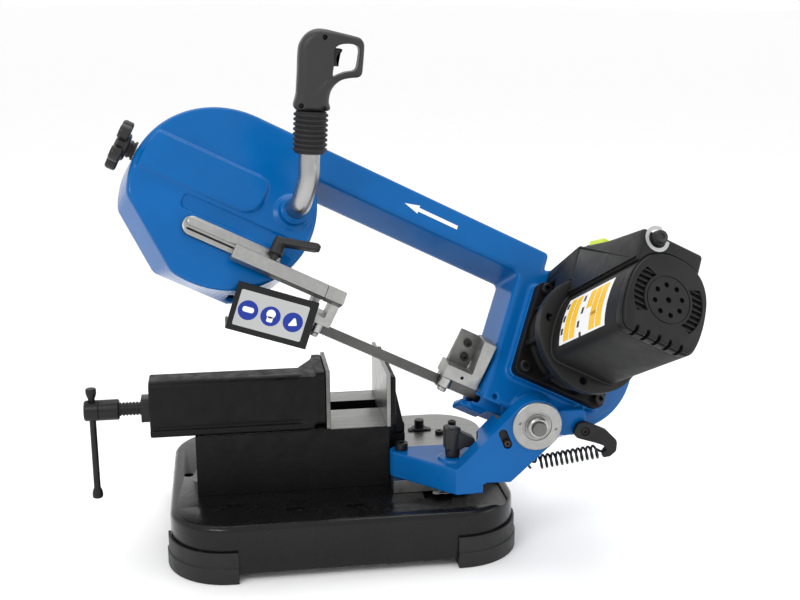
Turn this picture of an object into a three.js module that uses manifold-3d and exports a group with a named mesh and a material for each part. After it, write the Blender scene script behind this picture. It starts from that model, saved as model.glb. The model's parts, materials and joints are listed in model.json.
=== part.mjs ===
// Small horizontal metal-cutting band saw: pressed base with rubber corner feet, screw vise,
// swivelling arm for mitre cuts, and a tilted saw bow with its motor, blade and guides.
// Millimetres, +Z up. +X runs along the blade and the vise screw, -Y is the operator's side.
import * as THREE from 'three';
import { mergeVertices } from 'three/addons/utils/BufferGeometryUtils.js';
import Module from 'manifold-3d';

const wasm = await Module();
wasm.setup();

// ---------------------------------------------------------------- driving dimensions
const GAP = 0.3; // clearance between touching pieces
const CENTRE = new THREE.Vector2(38, -65); // plan position of the origin under the object's box

const BASE = { length: 412, width: 329, top: 68, skirt: 10, corner: 71, wall: 6 };
const FOOT = { height: 38, reachX: 84, reachY: 78, proud: 5, rim: 22, step: 19 };
const BED = { left: -173.5, right: 60, front: -68, back: 75.5, top: 144, ledge: 128 };
const SLOT = { front: 4, back: 36, floor: 122, right: 56 };
const JAW = { face: -11, thickness: 5, front: -66, back: 16, top: 218, fixedFace: 57, fixedTop: 211 };
const SCREW = { y: -41, z: 175, radius: 8, hubRadius: 12.5, hubLeft: -303, hubRight: -262, end: -38 };
const BAR = { x: -294, radius: 4, low: 64, high: 203, knob: 14, knobRadius: 6.5 };

const MITRE = new THREE.Vector2(74, -74); // vertical axis the arm swivels about
const TABLE = { top: 84, right: 203, back: 136, front: -96, corner: 60 };
const LEVER = { x: 130, y: -113, boss: 17, reach: 31 };
const ARM = { low: TABLE.top + GAP, top: 116, front: -150, plate: -125, back: -105, band: 31 };
const PIVOT = { x: 223, z: 165, radius: 8.5 }; // horizontal axis the bow rises about

const BOW_ANGLE = THREE.MathUtils.degToRad(26.4); // how far the bow is raised at rest
const BOW_TILT = THREE.MathUtils.degToRad(31); // how far the wheel plane leans back
const WHEEL = { radius: 87, width: 16, drive: 8, idler: -439 };
const BLADE = { width: 13, thickness: 0.65 };
const ROLLER = { radius: 8, offset: 8.7 };
const DRIVE = new THREE.Vector3(265, -43, 218); // origin of the bow's frame, on the motor's axis
const CASE = { back: -24, front: 38, wall: 5, left: -447, idler: 112, chord: 100, chordAngle: 231, drive: 102, beamLow: 67, beamHigh: 112,
  beamEnd: -48, column: -84, columnLow: -104 };
const MOTOR = { plate: 61, plateFront: 59, neck: 58, flange: 69, flangeBack: 97, flangeFront: 112,
  body: 255, end: 271 };

// ---------------------------------------------------------------- materials
const paint = (color, roughness, metalness) =>
  new THREE.MeshStandardMaterial({ color, roughness, metalness });
const BLUE = paint(0x0a62ad, 0.35, 0.1);
const BLACK_PAINT = paint(0x141414, 0.4, 0.2);
const CAST_BLACK = paint(0x1b1b1b, 0.7, 0.2);
const RUBBER = paint(0x2a2b2c, 0.85, 0);
const PLASTIC = paint(0x232325, 0.6, 0);
const STEEL = paint(0xb5b5b0, 0.35, 1);
const ALUMINIUM = paint(0xc4c4c2, 0.5, 1);
const OXIDE = paint(0x1c1e1d, 0.5, 0.7);
const YELLOW = paint(0xc9d815, 0.5, 0);

// ---------------------------------------------------------------- solids
function solid(geometry) {
  const bare = geometry.clone();
  bare.deleteAttribute('normal');
  bare.deleteAttribute('uv');
  const merged = mergeVertices(bare, 1e-4);
  const source = merged.index.array;
  const triangles = [];
  for (let i = 0; i < source.length; i += 3) {
    const [a, b, c] = [source[i], source[i + 1], source[i + 2]];
    if (a !== b && b !== c && c !== a) triangles.push(a, b, c);
  }
  return new wasm.Manifold(new wasm.Mesh({
    numProp: 3,
    vertProperties: new Float32Array(merged.attributes.position.array),
    triVerts: new Uint32Array(triangles),
  }));
}

function shell(manifold) {
  const mesh = manifold.getMesh();
  const geometry = new THREE.BufferGeometry();
  geometry.setAttribute('position', new THREE.BufferAttribute(mesh.vertProperties, 3));
  geometry.setIndex(new THREE.BufferAttribute(mesh.triVerts, 1));
  return geometry;
}

const AXES = {
  x: new THREE.Matrix4().makeBasis(
    new THREE.Vector3(0, 1, 0), new THREE.Vector3(0, 0, 1), new THREE.Vector3(1, 0, 0)),
  y: new THREE.Matrix4().makeBasis(
    new THREE.Vector3(1, 0, 0), new THREE.Vector3(0, 0, 1), new THREE.Vector3(0, -1, 0)),
  z: new THREE.Matrix4(),
};

// A flat outline pushed along an axis from one coordinate to another. Across the x axis the
// outline is read as (y, z), across the y axis as (x, z) and across the z axis as (x, y).
function prism(shape, axis, from, to, segments = 12) {
  const low = axis === 'y' ? -to : from;
  const geometry = new THREE.ExtrudeGeometry(
    shape, { depth: to - from, bevelEnabled: false, curveSegments: segments });
  geometry.translate(0, 0, low);
  geometry.applyMatrix4(AXES[axis]);
  return solid(geometry);
}

function disc(axis, a, b, radius, from, to, segments = 32) {
  const shape = new THREE.Shape();
  for (let i = 0; i < segments; i += 1) {
    const angle = (2 * Math.PI * i) / segments;
    const point = [a + radius * Math.cos(angle), b + radius * Math.sin(angle)];
    if (i === 0) shape.moveTo(...point);
    else shape.lineTo(...point);
  }
  return prism(shape, axis, from, to);
}

function box(x0, x1, y0, y1, z0, z1) {
  const geometry = new THREE.BoxGeometry(x1 - x0, y1 - y0, z1 - z0);
  geometry.translate((x0 + x1) / 2, (y0 + y1) / 2, (z0 + z1) / 2);
  return solid(geometry);
}

function polygon(points) {
  return new THREE.Shape(points.map(([x, y]) => new THREE.Vector2(x, y)));
}

function roundedRectangle(x0, x1, y0, y1, r) {
  const shape = new THREE.Shape();
  shape.moveTo(x0 + r, y0);
  shape.lineTo(x1 - r, y0);
  shape.absarc(x1 - r, y0 + r, r, -Math.PI / 2, 0, false);
  shape.lineTo(x1, y1 - r);
  shape.absarc(x1 - r, y1 - r, r, 0, Math.PI / 2, false);
  shape.lineTo(x0 + r, y1);
  shape.absarc(x0 + r, y1 - r, r, Math.PI / 2, Math.PI, false);
  shape.lineTo(x0, y0 + r);
  shape.absarc(x0 + r, y0 + r, r, Math.PI, 1.5 * Math.PI, false);
  return shape;
}

// A turned piece: radius and height pairs about the z axis, closed on the axis at both ends.
function turned(profile, segments = 24) {
  const points = profile.map(([radius, height]) => new THREE.Vector2(radius, height));
  const geometry = new THREE.LatheGeometry(points, segments);
  geometry.rotateX(Math.PI / 2);
  return solid(geometry);
}

function tube(points, radius, steps, sides = 12) {
  const section = new THREE.Shape();
  for (let i = 0; i < sides; i += 1) {
    const angle = (2 * Math.PI * i) / sides;
    const point = [radius * Math.cos(angle), radius * Math.sin(angle)];
    if (i === 0) section.moveTo(...point);
    else section.lineTo(...point);
  }
  const path = new THREE.CatmullRomCurve3(points);
  return solid(new THREE.ExtrudeGeometry(section, { steps, extrudePath: path, bevelEnabled: false }));
}

function mesh(name, manifold, material) {
  const result = new THREE.Mesh(shell(manifold), material);
  result.name = name;
  return result;
}

const pair = (vector) => [vector.x, vector.y];

// ---------------------------------------------------------------- base and feet
function plate(inset, from, to) {
  const [x, y] = [BASE.length / 2 - inset, BASE.width / 2 - inset];
  return prism(roundedRectangle(-x, x, -y, y, BASE.corner - inset), 'z', from, to, 8);
}

function baseCasting() {
  const edge = 5; // bevel round the top
  const [x, y] = [BASE.length / 2 - edge, BASE.width / 2 - edge];
  const top = new THREE.ExtrudeGeometry(
    roundedRectangle(-x, x, -y, y, BASE.corner - edge),
    { depth: 4, bevelThickness: edge, bevelSize: edge, bevelSegments: 2, curveSegments: 8 });
  top.translate(0, 0, BASE.top - 4 - edge);
  let body = plate(0, BASE.skirt, BASE.top - edge - 2).add(solid(top));
  body = body.subtract(plate(BASE.wall, BASE.skirt - 1, BASE.top - BASE.wall - 3));
  const recess = roundedRectangle(96, 194, -146, -62, 18);
  body = body.subtract(prism(recess, 'z', BASE.top - 4, BASE.top + 1, 4));
  for (const [holeX, holeY] of [[-129, -100], [-59, -120], [11, -122]]) {
    const slot = roundedRectangle(holeX - 11, holeX + 11, holeY - 5, holeY + 5, 4.9);
    body = body.subtract(prism(slot, 'z', BASE.top - 12, BASE.top + 1, 3));
  }
  return body.subtract(disc('z', -186, 3, 6, BASE.top - 12, BASE.top + 1, 12));
}

function foot(sideX, sideY) {
  const { height, reachX, reachY, proud, rim, step } = FOOT;
  const cornerX = sideX * (BASE.length / 2 + proud + 1);
  const cornerY = sideY * (BASE.width / 2 + proud + 1);
  const near = (corner, side, reach) => [corner, corner - side * reach].sort((a, b) => a - b);
  const window = box(...near(cornerX, sideX, reachX), ...near(cornerY, sideY, reachY), 0, height);
  const shoe = plate(-proud, 0, step).add(plate(1.5 - proud, step, height));
  return shoe.subtract(plate(rim, -1, height + 1))
    .subtract(plate(-GAP, BASE.skirt - GAP, height + 1))
    .intersect(window);
}

function makeBase() {
  const group = new THREE.Group();
  group.add(mesh('base_casting', baseCasting(), BLACK_PAINT));
  for (const [name, sideX, sideY] of [['foot_front_left', -1, -1], ['foot_front_right', 1, -1],
    ['foot_rear_left', -1, 1], ['foot_rear_right', 1, 1]]) {
    group.add(mesh(name, foot(sideX, sideY), RUBBER));
  }
  return group;
}

// ---------------------------------------------------------------- vise
function viseBed() {
  let bed = box(BED.left, BED.right, BED.front, BED.back, BASE.top + GAP, BED.top);
  bed = bed.add(box(BED.right - 1, 82, -50, 74, BASE.top + GAP, BED.ledge));
  bed = bed.subtract(box(BED.left - 1, SLOT.right, SLOT.front, SLOT.back, SLOT.floor, BED.top + 1));
  return bed.subtract(disc('z', ...pair(MITRE), 15.5, BASE.top, BED.top - 20, 24));
}

function fixedJaw() {
  let jaw = box(62.3, 69, -66, -50, BED.top + GAP, 206);
  jaw = jaw.add(box(62.3, 69, -50.5, 72, BED.ledge + GAP, 206));
  jaw = jaw.add(box(62.3, 82, -49, 72, BED.ledge + GAP, 140));
  for (const y of [-48, 6, 60]) {
    jaw = jaw.add(prism(polygon([[68, 139], [81, 139], [68, 198]]), 'y', y, y + 10));
  }
  return jaw;
}

function movingJaw() {
  const left = -226;
  const cast = prism(roundedRectangle(-63, -19, 150, 212, 9), 'x', left, -44, 4);
  const wide = prism(roundedRectangle(JAW.front, JAW.back, 150, 216, 4), 'x', -28, -16 - GAP, 2);
  const neck = prism(polygon([[-46, -63], [-28, JAW.front], [-28, 14], [-46, -19]]), 'z', 152, 211);
  const flange = box(left, -30, JAW.front, 40, BED.top + 0.6, 153);
  const tenon = box(-115, -60, SLOT.front + 1, SLOT.back - 1, BED.top - 16, BED.top + 2);
  return cast.add(wide).add(neck).add(flange).add(tenon)
    .subtract(box(-216, -36, -57, -25, BED.top - 1, 206))
    .subtract(disc('x', SCREW.y, SCREW.z, SCREW.radius + 0.6, left - 1, -200, 20));
}

function makeVise() {
  const { y, z, radius, hubRadius, hubLeft, hubRight, end } = SCREW;
  const group = new THREE.Group();
  group.add(mesh('vise_bed', viseBed(), CAST_BLACK));
  group.add(mesh('fixed_jaw', fixedJaw(), CAST_BLACK));
  group.add(mesh('fixed_jaw_plate',
    box(JAW.fixedFace, 62, -70, 75, BED.top + GAP, JAW.fixedTop), STEEL));
  const nut = box(-112, -88, -54, -28, BED.top + GAP, 190);
  group.add(mesh('vise_nut', nut.subtract(disc('x', y, z, radius + 0.5, -113, -87, 20)), STEEL));

  group.add(mesh('moving_jaw', movingJaw(), CAST_BLACK));
  group.add(mesh('moving_jaw_plate',
    box(JAW.face - JAW.thickness, JAW.face, JAW.front, JAW.back, BED.top + 0.6, JAW.top), STEEL));
  const collar = prism(roundedRectangle(-55, -27, 160, 189, 5), 'x', -236, -226 - GAP, 3);
  group.add(mesh('screw_collar',
    collar.subtract(disc('x', y, z, radius + 0.6, -240, -220, 20)), OXIDE));

  const screw = disc('x', y, z, hubRadius, hubLeft, hubRight, 24)
    .add(disc('x', y, z, radius, hubRight - 1, end, 20))
    .subtract(disc('z', BAR.x, y, BAR.radius + 0.5, z - 20, z + 20, 16));
  group.add(mesh('vise_screw', screw, OXIDE));
  const bar = turned([[0, BAR.low], [BAR.knobRadius, BAR.low], [BAR.radius, BAR.low + BAR.knob],
    [BAR.radius, BAR.high - BAR.knob], [BAR.knobRadius, BAR.high], [0, BAR.high]], 16);
  group.add(mesh('tommy_bar', bar.translate([BAR.x, y, 0]), OXIDE));
  return group;
}

// ---------------------------------------------------------------- swivel table and arm
function makeTable() {
  const { top, right, back, front, corner } = TABLE;
  const outline = new THREE.Shape();
  outline.moveTo(61, front);
  outline.lineTo(150, front);
  outline.lineTo(right, front + 60);
  outline.lineTo(right, back - corner);
  outline.absarc(right - corner, back - corner, corner, 0, Math.PI / 2, false);
  outline.lineTo(82.5, back);
  outline.lineTo(82.5, -50.5);
  outline.lineTo(61, -68.5);
  const table = prism(outline, 'z', BASE.top + GAP, top, 8);
  const drill = disc('z', ...pair(MITRE), 6, BASE.top, top + 1, 16);
  const stopHole = disc('z', 121, 78, 5, BASE.top, top + 1, 12);

  const bolt = disc('z', ...pair(MITRE), 8, ARM.top + GAP, ARM.top + 9, 16)
    .add(disc('z', ...pair(MITRE), 5.5, BASE.top + 0.6, ARM.top + 1, 16))
    .subtract(disc('z', ...pair(MITRE), 3.6, ARM.top + 4, ARM.top + 10, 6));
  const stop = disc('z', 121, 78, 11, top + GAP, top + 3, 16)
    .add(disc('z', 121, 78, 6.5, top + 2, top + 14, 12))
    .add(disc('z', 121, 78, 4.5, BASE.top + 0.6, top + 1, 12));
  const group = new THREE.Group();
  group.add(mesh('swivel_table', table.subtract(drill).subtract(stopHole), STEEL));
  group.add(mesh('mitre_pivot_bolt', bolt, OXIDE));
  group.add(mesh('table_stop_bolt', stop, OXIDE));
  return group;
}

// Outline of the arm's rising band, from its foot on the table up to the rounded pivot end.
function armBand(inset) {
  const r = ARM.band - inset;
  const outline = new THREE.Shape();
  outline.moveTo(131, ARM.low);
  outline.lineTo(165, 97);
  outline.lineTo(193, 96);
  outline.lineTo(PIVOT.x + r * Math.SQRT1_2, PIVOT.z - r * Math.SQRT1_2);
  outline.absarc(PIVOT.x, PIVOT.z, r, -Math.PI / 4, 0.75 * Math.PI, false);
  outline.lineTo(131, 117);
  return outline;
}

function swivelArm() {
  const { x, y, boss, reach } = LEVER;
  const hub = disc('z', ...pair(MITRE), 14.5, ARM.low, ARM.top, 24);
  const slabOutline = polygon([[66, -86], [128, ARM.front - 1], [160, ARM.front + 1], [168, -66],
    [74, -63.5]]);
  const slab = prism(slabOutline, 'z', ARM.low, ARM.top);
  const front = prism(armBand(0), 'y', ARM.front, ARM.plate, 12)
    .subtract(disc('z', x, y, 15, ARM.top, 200, 24));
  const thick = prism(armBand(0), 'y', ARM.plate - 1, ARM.back, 12)
    .subtract(disc('y', PIVOT.x, PIVOT.z, ARM.band + 11, ARM.plate, ARM.back + 1, 32))
    .subtract(disc('z', x, y, reach, ARM.top, 200, 32));
  return hub.add(slab).add(front).add(thick)
    .add(disc('z', x, y, boss, ARM.top - 2, ARM.top + 3, 24))
    .subtract(disc('z', ...pair(MITRE), 6, ARM.low - 1, ARM.top + 1, 16))
    .subtract(disc('z', x, y, 5.4, ARM.low + 8, ARM.top + 6, 12))
    .subtract(disc('y', PIVOT.x, PIVOT.z, PIVOT.radius + GAP, ARM.front - 1, ARM.plate + 1, 20));
}

// The lever that clamps the arm: a tapered hub with a wing that slopes down toward its tip.
function lockLever() {
  const { x, y } = LEVER;
  const low = ARM.top + 3 + GAP;
  const hub = turned([[0, low], [11, low], [13.5, low + 30], [0, low + 30]], 20).translate([x, y, 0]);
  const side = polygon([[x - 11, low + 20], [x + 24, low + 13], [x + 24, low + 25], [x - 11, low + 37]]);
  const stud = disc('z', x, y, 5, low - 12, low + 1, 12);
  return hub.add(prism(side, 'y', y - 8, y + 8)).add(stud);
}

function makeArm() {
  const { x, z, radius } = PIVOT;
  const face = ARM.front;
  const washer = disc('y', x, z, 29.5, face - 3, face - GAP, 32)
    .subtract(disc('y', x, z, radius + GAP, face - 4, face, 20));
  const nut = disc('y', x, z, 13, face - 12, face - 3 - GAP, 6)
    .subtract(disc('y', x, z, radius + GAP, face - 13, face - 2, 20));
  const group = new THREE.Group();
  group.add(mesh('swivel_arm', swivelArm(), BLUE));
  group.add(mesh('pivot_shaft', disc('y', x, z, radius, face - 15, -101, 20), STEEL));
  group.add(mesh('pivot_washer', washer, STEEL));
  group.add(mesh('pivot_nut', nut, STEEL));
  group.add(mesh('swivel_lock_lever', lockLever(), PLASTIC));

  const spring = disc('x', -128, 0, 9, 0, 73, 16).subtract(disc('x', -128, 0, 6, -1, 76, 16));
  const coil = mesh('return_spring', spring, OXIDE);
  coil.position.set(232, 0, 110.5);
  coil.rotation.y = -0.13;
  group.add(coil);
  return group;
}

// ---------------------------------------------------------------- the bow's own frame
// Local x runs along the blade away from the idler, y up in the wheel plane, z out to the front.
const ALONG = new THREE.Vector3(Math.cos(BOW_ANGLE), 0, -Math.sin(BOW_ANGLE));
const RISE = new THREE.Vector3(Math.sin(BOW_ANGLE), 0, Math.cos(BOW_ANGLE));
const ACROSS = new THREE.Vector3(0, 1, 0);
const UP = RISE.clone().multiplyScalar(Math.cos(BOW_TILT)).addScaledVector(ACROSS, Math.sin(BOW_TILT));
const OUT = RISE.clone().multiplyScalar(Math.sin(BOW_TILT)).addScaledVector(ACROSS, -Math.cos(BOW_TILT));
const BOW = new THREE.Matrix4().makeBasis(ALONG, UP, OUT).setPosition(DRIVE);
const TO_BOW = BOW.clone().invert();
const bowPoint = (x, y, z) => new THREE.Vector3(x, y, z).applyMatrix4(BOW);

// The cutting frame shares the bow's origin, with y up in the vertical blade plane and z to -Y.
const CUT = new THREE.Matrix4().makeBasis(ALONG, RISE, ACROSS.clone().negate()).setPosition(DRIVE);
const CUT_LINE = -WHEEL.radius * Math.cos(BOW_TILT); // the blade's height in the cutting frame
const CUT_PLANE = WHEEL.radius * Math.sin(BOW_TILT); // the blade's depth in the cutting frame

function intoBow(manifold) {
  return solid(shell(manifold).applyMatrix4(TO_BOW));
}

function framed(matrix, ...pieces) {
  const group = new THREE.Group();
  group.applyMatrix4(matrix);
  group.add(...pieces);
  return group;
}

// ---------------------------------------------------------------- bow casting and cover
// Turns a bow piece about the idler housing's middle.
function aboutIdler(degrees) {
  return new THREE.Matrix4().makeTranslation(CASE.left, 0, 0)
    .multiply(new THREE.Matrix4().makeRotationZ(THREE.MathUtils.degToRad(degrees)))
    .multiply(new THREE.Matrix4().makeTranslation(-CASE.left, 0, 0));
}

function caseBody(inset, from, to) {
  const { left, idler, drive, beamLow, beamHigh, beamEnd, column, columnLow } = CASE;
  const chord = box(left + CASE.chord - inset, left + 200, -200, 200, from - 1, to + 1);
  const flat = solid(shell(chord).applyMatrix4(aboutIdler(CASE.chordAngle)));
  return disc('z', left, 0, idler - inset, from, to, 48)
    .subtract(flat)
    .add(box(left, beamEnd - inset, beamLow + inset, beamHigh - inset, from, to))
    .add(disc('z', 0, 0, drive - inset, from, to, 48).intersect(box(column + inset, 120, -120, 120, from, to)))
    .add(box(column + inset, -20, columnLow + inset, beamLow + inset + 3, from, to));
}

// The wedge that the swivel arm needs, below and left of the pivot, in front of a depth limit.
function armRoom(limit, margin) {
  const reach = 170;
  const at = (degrees) => [PIVOT.x + reach * Math.cos(THREE.MathUtils.degToRad(degrees)),
    PIVOT.z + reach * Math.sin(THREE.MathUtils.degToRad(degrees))];
  const shift = [margin, margin];
  const corner = [PIVOT.x + shift[0], PIVOT.z + shift[1]];
  const outline = polygon([corner, at(154 - margin), at(200), at(240), at(278 + margin)]);
  return intoBow(prism(outline, 'y', -200, limit));
}

function bowFrame() {
  const { back, front, wall } = CASE;
  const pivotLug = intoBow(disc('y', PIVOT.x, PIVOT.z, ARM.band, ARM.plate + GAP, -97, 32));
  const springLug = intoBow(box(256, 290, -125, -90, 141, 173));
  const bossRoom = intoBow(disc('y', PIVOT.x, PIVOT.z, ARM.band + 12, -200, ARM.plate + GAP, 32));
  const cavity = caseBody(wall, back - 1, front - 4)
    .subtract(armRoom(-99, 6))
    .subtract(intoBow(disc('y', PIVOT.x, PIVOT.z, ARM.band + 4, -200, -96, 32)));
  const wheelRoom = disc('z', WHEEL.drive, 0, WHEEL.radius + 2.5, back - 1, 9, 48);
  const bladePass = box(-58, -20, 70, 89.2, back - 1, 12);
  const lip = box(-93, -60, -106, -97, back, 2);
  const panel = prism(roundedRectangle(-543, -406, -10, 40, 14), 'z', front - 1, front + 6, 4);
  const gearPad = box(-62, 62, -62, 62, front - 1, 46);
  const tubeBoss = disc('z', -369, 15, 17, front - 1, 50, 24);
  return caseBody(0, back, front)
    .subtract(armRoom(-103, 0))
    .add(lip).add(panel).add(gearPad).add(tubeBoss).add(pivotLug).add(springLug)
    .subtract(cavity.add(wheelRoom).add(bladePass))
    .subtract(bossRoom)
    .subtract(disc('z', 0, 0, 40, front - 6, 47, 32))
    .subtract(box(-400, -330, -98, -76, -11, 11)) // blade outlet by the idler
    .subtract(box(-95, -74, -98, -78, -12, 14)) // blade inlet by the drive wheel
    .subtract(disc('x', 10, 24, 5.6, -562, -540, 16)) // hole for the tension screw
    .subtract(intoBow(disc('y', PIVOT.x, PIVOT.z, PIVOT.radius + GAP, -130, -100.5, 20)));
}

function makeBow() {
  const { back } = CASE;
  const blade = bladeLoop();
  const cover = caseBody(1, back - 3, back - GAP);
  const track = prism(roundedRectangle(-477, -362, -63, -39, 12), 'z', 38 + GAP, 43, 4)
    .add(box(-386, -362, -54.6, -47, 42, 58))
    .subtract(disc('y', -372, 51, 4 + GAP, -58, -44, 12));
  const bolts = [[-1, -1], [1, -1], [1, 1], [-1, 1]].map(([sideX, sideY], index) => {
    const [x, y] = [sideX * 51.4, sideY * 51.4];
    const head = disc('z', x, y, 6.5, MOTOR.plateFront + GAP, MOTOR.plateFront + 8, 16)
      .subtract(disc('z', x, y, 3.2, MOTOR.plateFront + 4, MOTOR.plateFront + 9, 6));
    return mesh(`gearbox_bolt_${index + 1}`, head, OXIDE);
  });
  return framed(BOW,
    mesh('bow_frame', bowFrame(), BLUE),
    mesh('rear_cover', cover, BLUE),
    mesh('guide_track', track, ALUMINIUM),
    mesh('saw_blade', blade, STEEL),
    ...bolts);
}

// The endless blade: flat on the wheels, one closed ribbon round both of them.
function bladeLoop() {
  const { radius, drive, idler } = WHEEL;
  const half = BLADE.width / 2;
  const ring = (r) => {
    const shape = new THREE.Shape();
    shape.moveTo(drive, -r);
    shape.absarc(drive, 0, r, -Math.PI / 2, Math.PI / 2, false);
    shape.lineTo(idler, r);
    shape.absarc(idler, 0, r, Math.PI / 2, 1.5 * Math.PI, false);
    return shape;
  };
  const outer = prism(ring(radius + 0.3 + BLADE.thickness), 'z', -half, half, 24);
  const inner = prism(ring(radius + 0.3), 'z', -half - 1, half + 1, 24);
  const twisted = box(-427.5, -4.5, -radius - 8, -radius + 8, -half - 1, half + 1);
  return outer.subtract(inner).subtract(twisted).add(twistedRun());
}

// The lower run turns out of the wheel plane, stands upright between the guides and turns back.
function twistedRun() {
  const { radius } = WHEEL;
  const upright = Math.PI / 2 - BOW_TILT;
  const ease = (t) => t * t * (3 - 2 * t);
  const stations = [];
  for (let i = 0; i <= 8; i += 1) stations.push([-428 + 14 * i, ease(i / 8)]);
  for (let i = 8; i >= 0; i -= 1) stations.push([-4 - 9 * i, ease(i / 8)]);
  const middle = -radius - 0.3 - BLADE.thickness / 2;
  const positions = [];
  const index = [];
  for (const [x, share] of stations) {
    const [sin, cos] = [Math.sin(upright * share), Math.cos(upright * share)];
    for (const [side, face] of [[-1, -1], [1, -1], [1, 1], [-1, 1]]) {
      const across = (side * BLADE.width) / 2;
      const deep = (face * BLADE.thickness) / 2;
      positions.push(x, middle + across * sin - deep * cos, across * cos + deep * sin);
    }
  }
  const last = 4 * (stations.length - 1);
  for (let i = 0; i < last; i += 4) {
    for (let k = 0; k < 4; k += 1) {
      const [a, b] = [i + k, i + ((k + 1) % 4)];
      index.push(a, b, a + 4, b, b + 4, a + 4);
    }
  }
  index.push(0, 2, 1, 0, 3, 2, last, last + 1, last + 2, last, last + 2, last + 3);
  const geometry = new THREE.BufferGeometry();
  geometry.setAttribute('position', new THREE.Float32BufferAttribute(positions, 3));
  geometry.setIndex(index);
  return solid(geometry);
}

// ---------------------------------------------------------------- wheels and tension
function wheel(x) {
  const { radius, width } = WHEEL;
  const half = width / 2;
  let rim = disc('z', x, 0, radius, -half, half, 40)
    .subtract(disc('z', x, 0, radius - 9, 3, half + 1, 32))
    .subtract(disc('z', x, 0, radius - 9, -half - 1, -3, 32))
    .add(disc('z', x, 0, 18, -half, half, 24));
  for (let i = 0; i < 5; i += 1) {
    const angle = (2 * Math.PI * (i + 0.5)) / 5;
    rim = rim.subtract(disc('z', x + 48 * Math.cos(angle), 48 * Math.sin(angle), 15, -10, 10, 12));
  }
  return rim;
}

function makeDrive() {
  const driveX = WHEEL.drive;
  const shaft = disc('z', driveX, 0, 10, -12, 82, 20)
    .add(disc('z', driveX, 0, 15, -15, -8 - GAP, 20))
    .add(disc('z', driveX, 0, 36, 72, 80, 32));
  const driveWheel = wheel(driveX).subtract(disc('z', driveX, 0, 10 + GAP, -20, 20, 20));
  const idlerX = WHEEL.idler;
  const idler = wheel(idlerX).subtract(disc('z', idlerX, 0, 8 + GAP, -20, 20, 20));
  const carriage = box(idlerX - 38, idlerX + 22, -16, 20, 12, 33)
    .add(disc('z', idlerX, 0, 8, -12, 13, 20))
    .subtract(disc('x', 10, 24, 5.6, idlerX - 39, idlerX - 8, 16));
  const screw = disc('x', 10, 24, 5, -566, idlerX - 18, 12)
    .add(disc('x', 10, 24, 8.5, -566, -560, 16));
  let knob = disc('x', 10, 24, 15, -580, -566 - GAP, 20);
  for (let i = 0; i < 5; i += 1) {
    const angle = (2 * Math.PI * i) / 5;
    knob = knob.add(disc('x', 10 + 22 * Math.cos(angle), 24 + 22 * Math.sin(angle), 9, -582, -570, 12));
  }
  return framed(BOW,
    mesh('drive_shaft', shaft, STEEL),
    mesh('drive_wheel', driveWheel, ALUMINIUM),
    mesh('idler_carriage', carriage, STEEL),
    mesh('idler_wheel', idler, ALUMINIUM),
    mesh('tension_screw', screw, STEEL),
    mesh('tension_knob', knob, PLASTIC));
}

// ---------------------------------------------------------------- gearbox, motor and switches
// The motor's section: a flat underside, bulging sides and an arched top.
function motorOutline(inset) {
  const half = [[0, -49], [33, -49], [42, -44], [47, -32], [49, -10], [47, 14], [42, 30], [32, 42],
    [17, 50], [0, 52]];
  const scale = (49 - inset) / 49;
  const left = half.slice(1, -1).reverse().map(([x, y]) => [-x, y]);
  return polygon([...half, ...left].map(([x, y]) => [x * scale, y * scale]));
}

function gearbox() {
  const { plate: side, plateFront, neck, flangeBack } = MOTOR;
  return prism(roundedRectangle(-side, side, -side, side, 9), 'z', 46 + GAP, plateFront, 3)
    .add(disc('z', 0, 0, neck, plateFront - 1, flangeBack - GAP, 36))
    .subtract(disc('z', 0, 0, neck - 8, 68, flangeBack + 1, 36))
    .subtract(disc('z', WHEEL.drive, 0, 10 + GAP, 40, 70, 20));
}

function motorHousing() {
  const { flange, flangeBack, flangeFront, body } = MOTOR;
  let housing = disc('z', 0, 0, flange, flangeBack, flangeFront, 40)
    .add(prism(motorOutline(0), 'z', flangeFront - 1, body))
    .subtract(prism(motorOutline(6), 'z', flangeFront - 4, body + 1))
    .subtract(disc('z', 0, 0, 9, flangeBack - 1, flangeFront, 20));
  for (const degrees of [3, 93, 183, 273]) {
    const angle = THREE.MathUtils.degToRad(degrees);
    housing = housing.subtract(
      disc('z', 58 * Math.cos(angle), 58 * Math.sin(angle), 4.6, flangeBack - 1, flangeFront + 1, 12));
  }
  return housing;
}

function motorEndCap() {
  const { body, end } = MOTOR;
  let cap = prism(motorOutline(0), 'z', body + GAP, end - 4)
    .add(prism(motorOutline(2), 'z', end - 5, end))
    .subtract(prism(motorOutline(6), 'z', body, end - 5));
  for (const x of [-26, -13, 0, 13, 26]) {
    cap = cap.subtract(box(x - 2, x + 2, -50, -38, end - 9, end + 1));
  }
  for (const side of [-1, 1]) {
    const window = box(side * 35 - 7, side * 35 + 7, -22, 22, end - 8, end + 1);
    cap = cap.subtract(window.subtract(disc('z', 0, 0, 29, end - 9, end + 2, 32)));
  }
  return cap;
}

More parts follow.
